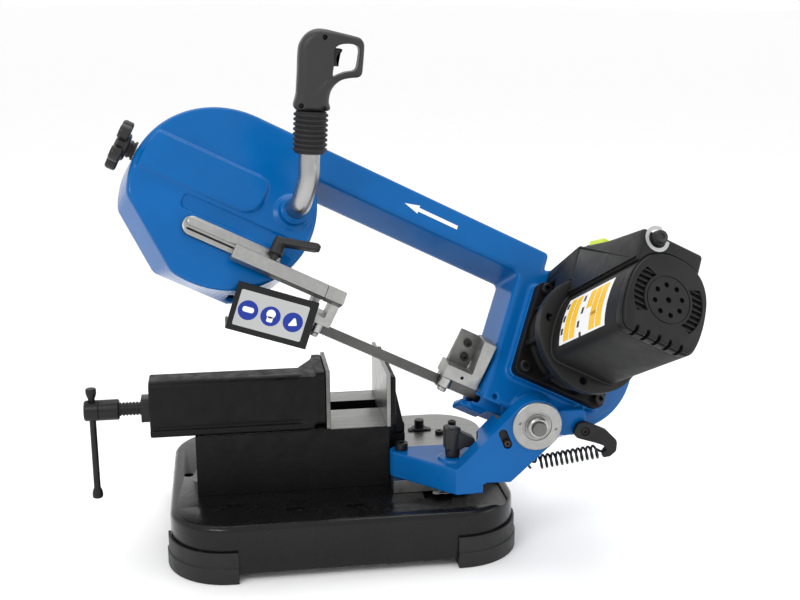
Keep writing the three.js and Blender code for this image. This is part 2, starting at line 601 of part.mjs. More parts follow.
function makeMotor() {
  const { flange, flangeFront, end } = MOTOR;
  const rotor = turned([[0, 84], [7, 84], [7, 120], [30, 120], [30, 190], [8, 190], [8, 225],
    [36, 226], [36, 240], [0, 240]], 24);
  const saddle = prism(polygon([[26, 113], [97, 113], [80, 186], [67.5, 268], [26, 268]]), 'x', -46, 30);
  const control = saddle.subtract(prism(motorOutline(-GAP), 'z', flangeFront - 1, end + 1))
    .subtract(box(-34, -10, 57, 100, 126, 150));
  const switchBox = prism(polygon([[65, 38 + GAP], [86, 38 + GAP], [91, 68],
    [99, 113 - GAP], [36, 113 - GAP], [36, 68], [65, 68]]), 'x', -46, 30)
    .subtract(disc('z', 0, 0, flange + 0.6, 50, flangeFront + 1, 40));
  const hinge = box(-40, -4, 92, 99, 117, 123);
  const lid = prism(polygon([[95.3, 124], [103, 124], [95, 160], [87, 160]]), 'x', -40, -4);
  const rocker = box(-33, -11, 61, 84, 127, 149);
  const knob = turned([[0, 268 + GAP], [9, 268 + GAP], [8, 282], [0, 282]], 20).translate([-28, 62, 0]);
  return framed(BOW,
    mesh('gearbox_housing', gearbox(), CAST_BLACK),
    mesh('motor_housing', motorHousing(), PLASTIC),
    mesh('motor_end_cap', motorEndCap(), PLASTIC),
    mesh('motor_rotor', rotor, STEEL),
    mesh('control_box', control.add(hinge), PLASTIC),
    mesh('switch_box', switchBox, PLASTIC),
    mesh('power_button', rocker, BLACK_PAINT),
    mesh('switch_cover', lid, YELLOW),
    mesh('speed_knob', knob, PLASTIC));
}

// ---------------------------------------------------------------- guides
// A guide is a block over the blade's back edge with a roller on each side of the blade.
function guideBlock(x, width, top) {
  const low = CUT_LINE + BLADE.width / 2 + 2;
  let block = box(x - width / 2, x + width / 2, low, top, CUT_PLANE - 20, CUT_PLANE + 20);
  for (const side of [-1, 1]) {
    block = block.add(disc('y', x, CUT_PLANE + side * ROLLER.offset, 3, low - 13, low + 1, 12));
  }
  return block;
}

function guideRoller(name, x, side) {
  const low = CUT_LINE + BLADE.width / 2 + 2;
  const z = CUT_PLANE + side * ROLLER.offset;
  const ring = disc('y', x, z, ROLLER.radius, low - 12, low - GAP, 20)
    .subtract(disc('y', x, z, 3 + GAP, low - 14, low + 1, 12));
  return mesh(name, ring, STEEL);
}

function makeGuides() {
  const bar = box(-417, -303, -71, -55, 43 + GAP, 57);
  const lever = disc('y', -372, 51, 4, -54.4, -46, 12)
    .add(disc('y', -372, 51, 8, -47 + GAP, -25, 16))
    .add(prism(polygon([[-377, 55], [-368, 45], [-330, 76], [-337, 85]]), 'y', -35, -25));
  const frontBlock = guideBlock(-291, 22, CUT_LINE + 20)
    .add(box(-302, -280, CUT_LINE + 14, -22, CUT_PLANE + 6, CUT_PLANE + 28));
  const barEnd = box(-302.7, -280, -71, -55, 43 + GAP, 57);
  const cutToBow = new THREE.Matrix4().makeRotationX(BOW_TILT);
  const turnedIn = (manifold) => solid(shell(manifold).applyMatrix4(cutToBow));
  const rearBlock = turnedIn(guideBlock(-122, 18, CUT_LINE + 24)
    .add(box(-114, -84, CUT_LINE + 8.5, CUT_LINE + 24, CUT_PLANE - 16, CUT_PLANE + 18))
    .add(box(-104, -84, CUT_LINE + 14, -6, CUT_PLANE - 14, CUT_PLANE + 18)))
    .subtract(caseBody(-0.4, -30, 60));
  // The guard is a sheet in front of the blade, turned a little against it, with a lower lip.
  const guard = box(-47, 47, -28, 28, 39, 43).add(box(-47, 47, -28, -24, 2, 40));
  const guardFrame = new THREE.Matrix4().makeRotationZ(THREE.MathUtils.degToRad(8.2));
  guardFrame.setPosition(-348, CUT_LINE, CUT_PLANE).premultiply(CUT);
  const group = new THREE.Group();
  group.add(
    framed(BOW,
      mesh('guide_bar', bar, STEEL),
      mesh('guide_clamp_lever', lever, PLASTIC),
      mesh('front_guide_block', turnedIn(frontBlock).add(barEnd), STEEL),
      mesh('rear_guide_block', rearBlock, STEEL)),
    framed(CUT,
      guideRoller('front_guide_roller_outer', -291, 1),
      guideRoller('front_guide_roller_inner', -291, -1),
      guideRoller('rear_guide_roller_outer', -122, 1),
      guideRoller('rear_guide_roller_inner', -122, -1)),
    framed(guardFrame, mesh('blade_guard', guard, BLACK_PAINT)));
  return group;
}

// ---------------------------------------------------------------- handle
function makeHandle() {
  const foot = bowPoint(-369, 15, 0);
  const out = (distance) => foot.clone().addScaledVector(OUT, distance);
  const lean = new THREE.Vector3(0.06, 0, 1).normalize();
  const gripFoot = new THREE.Vector3(-33.5, -108, 470);
  const along = (distance) => gripFoot.clone().addScaledVector(lean, distance);
  const route = [out(50 + GAP), out(62), out(76), along(-14), along(6), along(30), along(56)];
  const stem = tube(route, 12, 18, 14);

  const rings = [[12.6, 16]];
  for (let i = 0; i < 8; i += 1) {
    rings.push([16.5, 16 + 5.5 * i], [19.5, 18 + 5.5 * i], [16.5, 20 + 5.5 * i]);
  }
  rings.push([16.5, 61], [12.6, 61], [12.6, 16]);
  const gripShape = new THREE.Shape();
  gripShape.moveTo(-18, 61 + GAP);
  gripShape.lineTo(18, 61 + GAP);
  gripShape.lineTo(20, 95);
  gripShape.lineTo(58, 100);
  gripShape.lineTo(60, 140);
  gripShape.lineTo(20, 146);
  gripShape.lineTo(-2, 150);
  gripShape.lineTo(-18, 142);
  const loop = new THREE.Path();
  loop.absarc(41, 121, 13, 0, 2 * Math.PI, true);
  gripShape.holes.push(loop);
  const pocket = box(8, 34, 109, 132, -7, 7);
  const grip = new THREE.ExtrudeGeometry(gripShape, { depth: 30, bevelEnabled: false, curveSegments: 8 });
  grip.translate(0, 0, -15);
  const gripSolid = solid(grip).subtract(pocket);
  const trigger = box(15, 32, 111, 130, -6, 6);

  const frame = new THREE.Matrix4().makeBasis(
    new THREE.Vector3().crossVectors(ACROSS, lean), lean, ACROSS.clone().negate());
  frame.setPosition(gripFoot);
  const bellows = turned(rings, 14);
  const bellowsMesh = mesh('handle_bellows', bellows, RUBBER);
  bellowsMesh.rotation.x = -Math.PI / 2;
  const group = new THREE.Group();
  group.add(mesh('handle_tube', stem, ALUMINIUM));
  group.add(framed(frame, bellowsMesh, mesh('handle_grip', gripSolid, PLASTIC),
    mesh('trigger', trigger, PLASTIC)));
  return group;
}

// ---------------------------------------------------------------- spring bracket
function springBracket() {
  const outline = new THREE.Shape();
  outline.moveTo(279, 162);
  outline.absarc(279, 152, 10, Math.PI / 2, 1.4 * Math.PI, false);
  outline.lineTo(310, 131);
  outline.lineTo(317, 124);
  outline.lineTo(309, 118);
  outline.lineTo(311, 112);
  outline.lineTo(327, 118);
  outline.lineTo(330, 132);
  outline.lineTo(322, 144);
  return prism(outline, 'y', -131, -125 - GAP, 6);
}

// ---------------------------------------------------------------- assembly
const saw = new THREE.Group();
saw.add(makeBase(), makeVise(), makeTable(), makeArm(), makeBow(), makeDrive(), makeMotor(),
  makeGuides(), makeHandle(), mesh('spring_bracket', springBracket(), OXIDE));
saw.position.set(-CENTRE.x, -CENTRE.y, 0);
saw.updateMatrixWorld(true);

export default saw;
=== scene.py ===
# Looks for the small horizontal band saw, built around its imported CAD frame.
# Shapes are written in millimetres in the saw's own frames and settled into the row frame.
import json
from math import acos, asin, atan2, cos, degrees, pi, radians, sin, sqrt, tan

import bmesh
import bpy
from mathutils import Matrix, Vector


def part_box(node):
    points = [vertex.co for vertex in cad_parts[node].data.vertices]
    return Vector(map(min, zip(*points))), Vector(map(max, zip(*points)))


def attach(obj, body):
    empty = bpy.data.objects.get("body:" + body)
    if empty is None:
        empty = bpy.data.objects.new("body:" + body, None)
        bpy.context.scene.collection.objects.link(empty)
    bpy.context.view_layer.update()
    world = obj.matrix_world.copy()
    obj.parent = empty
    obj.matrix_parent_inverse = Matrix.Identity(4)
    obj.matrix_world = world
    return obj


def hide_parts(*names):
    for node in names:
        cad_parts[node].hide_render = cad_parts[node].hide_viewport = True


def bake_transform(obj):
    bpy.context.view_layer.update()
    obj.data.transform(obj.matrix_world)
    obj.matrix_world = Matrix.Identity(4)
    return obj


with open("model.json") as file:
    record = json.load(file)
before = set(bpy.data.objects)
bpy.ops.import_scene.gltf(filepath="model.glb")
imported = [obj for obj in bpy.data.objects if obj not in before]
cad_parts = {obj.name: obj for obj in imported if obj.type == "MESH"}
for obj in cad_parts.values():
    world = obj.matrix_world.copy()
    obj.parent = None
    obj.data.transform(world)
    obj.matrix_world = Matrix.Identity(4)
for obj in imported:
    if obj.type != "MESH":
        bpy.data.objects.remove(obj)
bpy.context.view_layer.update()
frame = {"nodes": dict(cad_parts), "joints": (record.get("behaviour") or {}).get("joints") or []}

JOINT = {joint["name"]: joint for joint in frame["joints"]}
NODE = frame["nodes"]
MM = 0.001


# ------ frames
def basis(x, y, z, origin):
    """Millimetres along three axes from an origin, to metres in the row frame."""
    turn = Matrix((x, y, z)).transposed().to_4x4()
    return Matrix.Translation(origin) @ turn @ Matrix.Scale(MM, 4)


def axis(joint):
    return Vector(JOINT[joint]["axis"]).normalized()


def place(joint):
    return Vector(JOINT[joint]["pos_m"])


WHEEL_RADIUS = 87
TUBE_FOOT = (-369, 15)  # where the handle tube meets the bow, in the bow's frame
ROW_X, ROW_Y, ROW_Z = Vector((1, 0, 0)), Vector((0, 1, 0)), Vector((0, 0, 1))
base_low, base_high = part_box("base_casting")
PLAN = basis(ROW_X, ROW_Y, ROW_Z, ((base_low.x + base_high.x) / 2, (base_low.y + base_high.y) / 2, 0))

ALONG = axis("guide_slide")
OUT = axis("drive_spin")
UP = OUT.cross(ALONG).normalized()
RISE = axis("rear_guide_roller_outer_spin")
BOW_ORIGIN = place("motor_spin") - 150 * MM * OUT
BOW = basis(ALONG, UP, OUT, BOW_ORIGIN)
CUT = basis(ALONG, RISE, -ROW_Y, BOW_ORIGIN)
TILT = UP.angle(RISE)

PIVOT = PLAN.inverted() @ place("bow_pivot")
LOCK = PLAN.inverted() @ place("swivel_lock")
SCREW = PLAN.inverted() @ place("vise_screw_turn")
IDLER = BOW.inverted() @ place("idler_spin")
DRIVE = BOW.inverted() @ place("drive_spin")
KNOB = BOW.inverted() @ place("tension_knob_turn")
CLAMP = BOW.inverted() @ place("guide_clamp")
DIAL = BOW.inverted() @ place("speed_knob_turn")

LEAN = -(axis("trigger_pull").cross(ROW_Y))
LEAN = LEAN if LEAN.z > 0 else -LEAN
GRIP = basis(-axis("trigger_pull"), LEAN, -ROW_Y, PLAN @ Vector((-33.5, -108, 470)))


# ------ outlines
def arc(x, y, radius, start, end, steps):
    """Points on an arc, from one angle in degrees to another."""
    turns = [radians(start + (end - start) * k / steps) for k in range(steps + 1)]
    return [(x + radius * cos(a), y + radius * sin(a)) for a in turns]


def circle(x, y, radius, count=48):
    return arc(x, y, radius, 0, 360, count)[:-1]


def rounded(corners, steps=6):
    """A closed outline from corners given as (x, y, radius)."""
    points = []
    for index, (x, y, radius) in enumerate(corners):
        corner = Vector((x, y))
        before = (Vector(corners[index - 1][:2]) - corner).normalized()
        after = (Vector(corners[(index + 1) % len(corners)][:2]) - corner).normalized()
        half = before.angle(after) / 2
        centre = corner + (before + after).normalized() * radius / sin(half)
        start, end = (corner + side * radius / tan(half) - centre for side in (before, after))
        first = atan2(start.y, start.x)
        turn = (atan2(end.y, end.x) - first + pi) % (2 * pi) - pi
        points += arc(centre.x, centre.y, radius, degrees(first), degrees(first + turn), steps)
    return points


def rectangle(x0, x1, y0, y1, radius, steps=6):
    return rounded([(x, y, radius) for x, y in ((x0, y0), (x1, y0), (x1, y1), (x0, y1))], steps)


def flowing(points, steps=8, closed=True):
    """A smooth curve through points of any dimension (Catmull-Rom)."""
    points = [Vector(p) for p in points]
    count = len(points)
    result = []
    for i in range(count if closed else count - 1):
        if closed:
            a, b, c, d = (points[(i + k) % count] for k in (-1, 0, 1, 2))
        else:
            a, b, c, d = (points[min(max(i + k, 0), count - 1)] for k in (-1, 0, 1, 2))
        for k in range(steps):
            t = k / steps
            result.append(0.5 * (2 * b + (c - a) * t + (2 * a - 5 * b + 4 * c - d) * t * t
                                 + (3 * b - a - 3 * c + d) * t ** 3))
    return result if closed else result + [points[-1]]


def inset(outline, distance):
    """Moves a counter-clockwise outline inwards, keeping its number of points."""
    moved = []
    for index, point in enumerate(outline):
        here = Vector(point)
        before = here - Vector(outline[index - 1])
        after = Vector(outline[(index + 1) % len(outline)]) - here
        normals = [Vector((-side.y, side.x)).normalized() for side in (before, after) if side.length > 1e-6]
        middle = sum(normals, Vector((0, 0))).normalized()
        stretch = max(middle.dot(normals[0]), 0.4)
        moved.append(here + middle * distance / stretch)
    return moved


# ------ mesh building
LAY = {"z": lambda a, b, h: (a, b, h), "y": lambda a, b, h: (a, h, b), "x": lambda a, b, h: (h, a, b)}


def build(name, points, faces):
    mesh = bpy.data.meshes.new(name)
    mesh.from_pydata([tuple(p) for p in points], [], faces)
    bm = bmesh.new()
    bm.from_mesh(mesh)
    bmesh.ops.remove_doubles(bm, verts=bm.verts, dist=1e-4)
    bmesh.ops.recalc_face_normals(bm, faces=bm.faces)
    bm.to_mesh(mesh)
    bm.free()
    made = bpy.data.objects.new(name, mesh)
    bpy.context.scene.collection.objects.link(made)
    return made


def loft(name, rings, closed=False):
    """Skins rings of equal length. A closed loft joins its last ring to its first."""
    count, last = len(rings[0]), len(rings) - 1
    steps = [(k, k + 1) for k in range(last)] + ([(last, 0)] if closed else [])
    faces = [(a * count + i, a * count + (i + 1) % count, b * count + (i + 1) % count, b * count + i)
             for a, b in steps for i in range(count)]
    if not closed:
        faces += [tuple(range(count)), tuple(range(last * count, (last + 1) * count))]
    return build(name, [p for ring in rings for p in ring], faces)


def prism(name, outline, low, high, ease=1.0, ease_low=None, steps=3, lay="z"):
    """An outline pushed from low to high, with its two rims rounded."""
    ease_low = ease if ease_low is None else ease_low
    turns = [pi / 2 * k / steps for k in range(steps + 1)]
    levels = [(low + ease_low * (1 - cos(a)), ease_low * (1 - sin(a))) for a in turns]
    levels += [(high - ease * (1 - cos(a)), ease * (1 - sin(a))) for a in reversed(turns)]
    if ease == 0:
        levels = levels[:steps + 1] + [(high, 0)]
    if ease_low == 0:
        levels = [(low, 0)] + levels[steps + 1:]
    rings = []
    for height, distance in levels:
        ring = inset(outline, distance) if distance > 1e-6 else outline
        rings.append([LAY[lay](p[0], p[1], height) for p in ring])
    return loft(name, rings)


def turned(name, profile, count=48, closed=False, at=(0, 0, 0), lay="z"):
    """A profile of (radius, height) pairs turned about an axis through a point."""
    rings = [[Vector(at) + Vector(LAY[lay](*p, height)) for p in circle(0, 0, radius, count)]
             for radius, height in profile]
    return loft(name, rings, closed)


def washer(name, inner, outer, low, high, ease=0.4, **options):
    """A ring with eased edges."""
    profile = [(inner, low), (inner, high), (outer - ease, high), (outer, high - ease), (outer, low + ease),
               (outer - ease, low)]
    return turned(name, profile, closed=True, **options)


def rod(name, path, radius, sides=16, closed=False):
    """A round rod along a path; radius is a number or one number for each point."""
    path = [Vector(p) for p in path]
    radii = radius if isinstance(radius, (list, tuple)) else [radius] * len(path)
    rings, normal = [], None
    for i, point in enumerate(path):
        ahead = path[min(i + 1, len(path) - 1)] - path[max(i - 1, 0)]
        ahead.normalize()
        if normal is None:
            normal = ahead.orthogonal().normalized()
        normal = (normal - ahead * normal.dot(ahead)).normalized()
        side = ahead.cross(normal)
        rings.append([point + normal * x + side * y for x, y in circle(0, 0, radii[i], sides)])
    return loft(name, rings, closed)


def apply(target):
    """Turns a piece's modifiers into its own mesh."""
    graph = bpy.context.evaluated_depsgraph_get()
    mesh = bpy.data.meshes.new_from_object(target.evaluated_get(graph))
    target.modifiers.clear()
    target.data = mesh
    return target


def drop(pieces):
    for piece in pieces:
        bpy.data.objects.remove(piece)


def combine(target, others, operation="DIFFERENCE"):
    for other in others:
        modifier = target.modifiers.new("combine", "BOOLEAN")
        modifier.object, modifier.operation, modifier.solver = other, operation, "MANIFOLD"
    apply(target)
    drop(others)
    return target


def merge(target, others):
    return combine(target, others, "UNION")


def joined(name, pieces):
    """Several separate shells as one object."""
    bm = bmesh.new()
    for piece in pieces:
        bm.from_mesh(piece.data)
    mesh = bpy.data.meshes.new(name)
    bm.to_mesh(mesh)
    bm.free()
    made = bpy.data.objects.new(name, mesh)
    bpy.context.scene.collection.objects.link(made)
    drop(pieces)
    return made


def copied(name, node, matrix):
    """A CAD node's mesh in a local frame, as the start of a finer piece."""
    mesh = NODE[node].data.copy()
    mesh.transform(matrix.inverted())
    made = bpy.data.objects.new(name, mesh)
    bpy.context.scene.collection.objects.link(made)
    bm = bmesh.new()
    bm.from_mesh(mesh)
    bmesh.ops.remove_doubles(bm, verts=bm.verts, dist=1e-3)
    bm.to_mesh(mesh)
    bm.free()
    return made


def cast(piece, voxel=1.5, relax=4, keep=0.35):
    """Softens every edge of a casting, as a sand mould and paint do."""
    modifier = piece.modifiers.new("skin", "REMESH")
    modifier.mode, modifier.voxel_size, modifier.use_smooth_shade = "VOXEL", voxel, True
    modifier = piece.modifiers.new("relax", "SMOOTH")
    modifier.factor, modifier.iterations = 0.5, relax
    modifier = piece.modifiers.new("thin", "DECIMATE")
    modifier.ratio = keep
    return apply(piece)


# ------ settling pieces
def shade(mesh, crease):
    mesh.polygons.foreach_set("use_smooth", [True] * len(mesh.polygons))
    mesh.set_sharp_from_angle(angle=radians(crease))


def settle(piece, matrix, body, finish, replaces=(), crease=38):
    """Puts a local piece in the row frame, gives it its finish and lets it ride on a body."""
    piece.data.transform(matrix)
    piece.data.materials.clear()
    piece.data.materials.append(finish)
    shade(piece.data, crease)
    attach(piece, body)
    if replaces:
        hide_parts(*([replaces] if isinstance(replaces, str) else replaces))
    return piece


def dress(node, finish, width=0.8, segments=3, angle=40):
    """Gives a CAD node its finish and eases its edges."""
    shown = NODE[node]
    shown.data.materials.clear()
    shown.data.materials.append(finish)
    shade(shown.data, 180)
    weld = shown.modifiers.new("weld", "WELD")
    weld.merge_threshold = 0.00002
    flat = shown.modifiers.new("flat", "DECIMATE")
    flat.decimate_type, flat.angle_limit = "DISSOLVE", radians(1)
    bevel = shown.modifiers.new("ease", "BEVEL")
    bevel.width, bevel.segments, bevel.limit_method = width * MM, segments, "ANGLE"
    bevel.angle_limit, bevel.miter_outer = radians(angle), "MITER_ARC"
    normals = shown.modifiers.new("normals", "WEIGHTED_NORMAL")
    normals.keep_sharp = True
    return shown


# ------ finishes
def surface(name, color, roughness, metallic=0.0, bumps=(), tint=0.12, tint_scale=14.0, spread=0.1,
            spread_scale=60.0, stretch=(1, 1, 1), dust=0.0, **sockets):
    """A procedural finish: colour and roughness vary over the surface, with bumps at one or more scales."""
    made = bpy.data.materials.new(name)
    made.use_nodes = True
    made.diffuse_color = (*color, 1)
    nodes, links = made.node_tree.nodes, made.node_tree.links
    shader = nodes["Principled BSDF"]
    shader.inputs["Metallic"].default_value = metallic
    for key, value in sockets.items():
        shader.inputs[key.replace("_", " ")].default_value = value
    place_in = nodes.new("ShaderNodeTexCoord")
    mapping = nodes.new("ShaderNodeMapping")
    mapping.inputs["Scale"].default_value = stretch
    links.new(place_in.outputs["Object"], mapping.inputs["Vector"])

    def noise(scale, detail=3.0, rough=0.55):
        node = nodes.new("ShaderNodeTexNoise")
        node.inputs["Scale"].default_value = scale
        node.inputs["Detail"].default_value = detail
        node.inputs["Roughness"].default_value = rough
        links.new(mapping.outputs["Vector"], node.inputs["Vector"])
        return node.outputs["Fac"]

    def ramp(value, low, high, start=0.3, end=0.7):
        node = nodes.new("ShaderNodeMapRange")
        for key, number in zip(("From Min", "From Max", "To Min", "To Max"), (start, end, low, high)):
            node.inputs[key].default_value = number
        links.new(value, node.inputs["Value"])
        return node.outputs["Result"]

    def mixed(share, first, second):
        node = nodes.new("ShaderNodeMix")
        node.data_type = "RGBA"
        links.new(share, node.inputs["Factor"])
        for socket, value in (("A", first), ("B", second)):
            target = [s for s in node.inputs if s.name == socket and s.type == "RGBA"][0]
            if isinstance(value, tuple):
                target.default_value = (*value, 1)
            else:
                links.new(value, target)
        return [s for s in node.outputs if s.type == "RGBA"][0]

    dark = tuple(max(c * (1 - tint), 0) for c in color)
    light = tuple(min(c * (1 + tint), 1) for c in color)
    colour = mixed(ramp(noise(tint_scale, 5.0), 0, 1), dark, light)
    if dust:
        grey = tuple(min(c + 0.1, 1) for c in color)
        colour = mixed(ramp(noise(tint_scale * 9, 6.0, 0.7), 0, dust, 0.55, 0.8), colour, grey)
    links.new(colour, shader.inputs["Base Color"])
    rough = ramp(noise(spread_scale, 4.0), max(roughness - spread, 0.03), min(roughness + spread, 1))
    links.new(rough, shader.inputs["Roughness"])
    normal = None
    for scale, strength, distance in bumps:
        bump = nodes.new("ShaderNodeBump")
        bump.inputs["Strength"].default_value = strength
        bump.inputs["Distance"].default_value = distance * MM
        links.new(noise(scale, 2.0), bump.inputs["Height"])
        if normal:
            links.new(normal, bump.inputs["Normal"])
        normal = bump.outputs["Normal"]
    if normal:
        links.new(normal, shader.inputs["Normal"])
    return made


PEEL = ((420, 0.35, 0.35), (1500, 0.12, 0.1))
CAST = ((260, 0.5, 0.8), (900, 0.35, 0.35))
GRAIN = ((2600, 0.45, 0.12), (900, 0.12, 0.12))
BLUE = surface("blue_paint", (0.001, 0.097, 0.32), 0.18, bumps=PEEL, tint=0.07, spread=0.06,
    Specular_IOR_Level=0.18)
BASE_BLACK = surface("base_black", (0.006, 0.006, 0.0065), 0.24, bumps=((300, 0.5, 0.5), (1100, 0.2, 0.15)),
    tint=0.25, spread=0.1, dust=0.04, Specular_IOR_Level=0.12, Coat_Weight=0.4, Coat_Roughness=0.2,
    Coat_IOR=1.35)
CAST_BLACK = surface("cast_black", (0.004, 0.004, 0.004), 0.45, bumps=CAST, tint=0.3, spread=0.14,
    dust=0.04, Specular_IOR_Level=0.16)
PLASTIC = surface("moulded_plastic", (0.009, 0.009, 0.0088), 0.45, bumps=GRAIN, tint=0.12, spread=0.07,
    Specular_IOR_Level=0.22)
GRIP_PLASTIC = surface("grip_plastic", (0.022, 0.0215, 0.022), 0.45, bumps=GRAIN, tint=0.1, spread=0.07,
    Specular_IOR_Level=0.35)
KNOB_PLASTIC = surface("knob_plastic", (0.012, 0.012, 0.012), 0.4, bumps=GRAIN, tint=0.15, spread=0.08,
    Specular_IOR_Level=0.35)
RUBBER = surface("rubber", (0.012, 0.012, 0.0125), 0.62, bumps=((1800, 0.4, 0.15), (300, 0.15, 0.3)),
    tint=0.2, spread=0.1, dust=0.05, Specular_IOR_Level=0.35)
FOOT_PLASTIC = surface("foot_plastic", (0.012, 0.012, 0.0125), 0.45, bumps=((1500, 0.35, 0.15),), tint=0.2,
    dust=0.05, Specular_IOR_Level=0.28)
GUARD_BLACK = surface("guard_black", (0.005, 0.005, 0.0055), 0.35, bumps=((700, 0.3, 0.2),), tint=0.2,
    Specular_IOR_Level=0.25)
GROUND = surface("ground_steel", (0.27, 0.27, 0.262), 0.34, 1.0, bumps=((900, 0.14, 0.05),), tint=0.12,
    stretch=(1, 12, 1), spread=0.12)
STEEL = surface("bright_steel", (0.4, 0.4, 0.39), 0.27, 1.0, bumps=((700, 0.1, 0.05),), tint=0.1,
    stretch=(1, 1, 6), spread=0.1)
DULL_STEEL = surface("dull_steel", (0.16, 0.16, 0.155), 0.42, 1.0, bumps=((900, 0.2, 0.1),), tint=0.2,
    spread=0.12)
BLADE_STEEL = surface("blade_steel", (0.09, 0.09, 0.088), 0.36, 1.0, bumps=((1500, 0.12, 0.04),), tint=0.25,
    spread=0.14)
ALUMINIUM = surface("raw_aluminium", (0.36, 0.36, 0.35), 0.42, 1.0,
    bumps=((800, 0.3, 0.12), (2500, 0.2, 0.05)), tint=0.07, spread=0.1, tint_scale=160)
TUBE = surface("satin_tube", (0.36, 0.36, 0.36), 0.3, 1.0, bumps=((1600, 0.08, 0.04),), tint=0.06,
    spread=0.06)
OXIDE = surface("black_oxide", (0.014, 0.014, 0.015), 0.4, 0.6, bumps=((1100, 0.25, 0.1),), tint=0.3,
    spread=0.14)
RUST = surface("rusty_screw", (0.05, 0.028, 0.018), 0.55, 0.5, bumps=((1400, 0.5, 0.2),), tint=0.4,
    spread=0.15)
YELLOW = surface("yellow_plastic", (0.52, 0.66, 0.01), 0.38, bumps=((1800, 0.2, 0.08),), tint=0.06)
WHITE_INK = surface("white_ink", (0.78, 0.78, 0.78), 0.4, bumps=((1500, 0.1, 0.03),), tint=0.03)
SILVER_FOIL = surface("silver_foil", (0.42, 0.43, 0.43), 0.38, 0.35, bumps=((1200, 0.1, 0.04),), tint=0.05)
BLUE_INK = surface("blue_ink", (0.008, 0.028, 0.26), 0.35, bumps=((1500, 0.1, 0.03),), tint=0.05,
    Specular_IOR_Level=0.25)
AMBER_INK = surface("amber_ink", (0.8, 0.47, 0.01), 0.4, bumps=((1500, 0.1, 0.03),), tint=0.06)
BLACK_INK = surface("black_ink", (0.008, 0.008, 0.008), 0.4, bumps=((1500, 0.1, 0.03),), tint=0.2)

# ------ camera
LENS, SENSOR = 53.77, 36.0
AZIMUTH, DIP, ROLL = radians(8.46762), radians(13.9948), radians(0.24926)
CAMERA_PLACE = (-0.1671, -1.3672, 0.6463)
ahead = Vector((sin(AZIMUTH) * cos(DIP), cos(AZIMUTH) * cos(DIP), -sin(DIP)))
right = Vector((cos(AZIMUTH), -sin(AZIMUTH), 0))
above = right.cross(ahead)
right, above = right * cos(ROLL) - above * sin(ROLL), right * sin(ROLL) + above * cos(ROLL)
camera = bpy.data.objects.new("camera", bpy.data.cameras.new("camera"))
camera.data.lens, camera.data.sensor_width = LENS, SENSOR
camera.data.clip_start, camera.data.clip_end = 0.01, 600
camera.matrix_world = (Matrix.Translation(CAMERA_PLACE)
                       @ Matrix((right, above, -ahead)).transposed().to_4x4())
bpy.context.scene.collection.objects.link(camera)
bpy.context.scene.camera = camera

# ------ bow casting
CASE = dict(back=-24, front=38, left=-447, idler=112, drive=102, beam_low=67, beam_high=112, beam_end=-48,
            column=-84, column_low=-104, flat=100, flat_angle=231, bottom=112, bottom_back=98)
THROAT_FILLET = 5


def case_outline(distance, bottom=CASE["bottom"]):
    """The casting's outline in the wheel plane, a distance inside its widest outline.

    The idler housing is round, with a flat at its lower left and one along its bottom."""
    i, c = distance, CASE
    idler, drive = c["idler"] - i, c["drive"] - i
    low, high = c["beam_low"] + i, c["beam_high"] - i
    toe, corner = max(6 - i, 0.5), max(8 - i, 0.5)
    end = c["beam_end"] - i
    points = []
    for x, y in arc(0, 0, idler, 90, 360 + degrees(asin(low / idler)), 96):
        facing = cos(atan2(y, x) - radians(c["flat_angle"]))
        shrink = min(1, (c["flat"] - i) / max(idler * facing, 1))
        points.append((c["left"] + x * shrink, max(y * shrink, i - bottom)))
    points += arc(c["column"] - THROAT_FILLET, c["beam_low"] - THROAT_FILLET, THROAT_FILLET + i, 90, 0, 8)
    points += arc(c["column"] + i + toe, c["column_low"] + i + toe, toe, 180, 270, 6)
    points += arc(0, 0, drive, -80, degrees(acos(end / drive)), 56)
    points += arc(end - corner, high - corner, corner, 0, 90, 6)
    return points


def arm_room(name, limit, margin):
    """The wedge in front of a depth limit that the swivel arm needs when the bow goes down."""
    reach = 170
    turns = [radians(a) for a in (154 - margin, 200, 240, 278 + margin)]
    wedge = [(PIVOT.x + margin, PIVOT.z + margin)]
    wedge += [(PIVOT.x + reach * cos(a), PIVOT.z + reach * sin(a)) for a in turns]
    cutter = prism(name, wedge, -220, limit, 0, 0, lay="y")
    cutter.data.transform(BOW.inverted() @ PLAN)
    return cutter


def in_bow(piece, matrix=PLAN):
    piece.data.transform(BOW.inverted() @ matrix)
    return piece


def pivot_disc(name, radius, low, high, ease=0):
    return in_bow(prism(name, circle(PIVOT.x, PIVOT.z, radius), low, high, ease, ease, lay="y"))


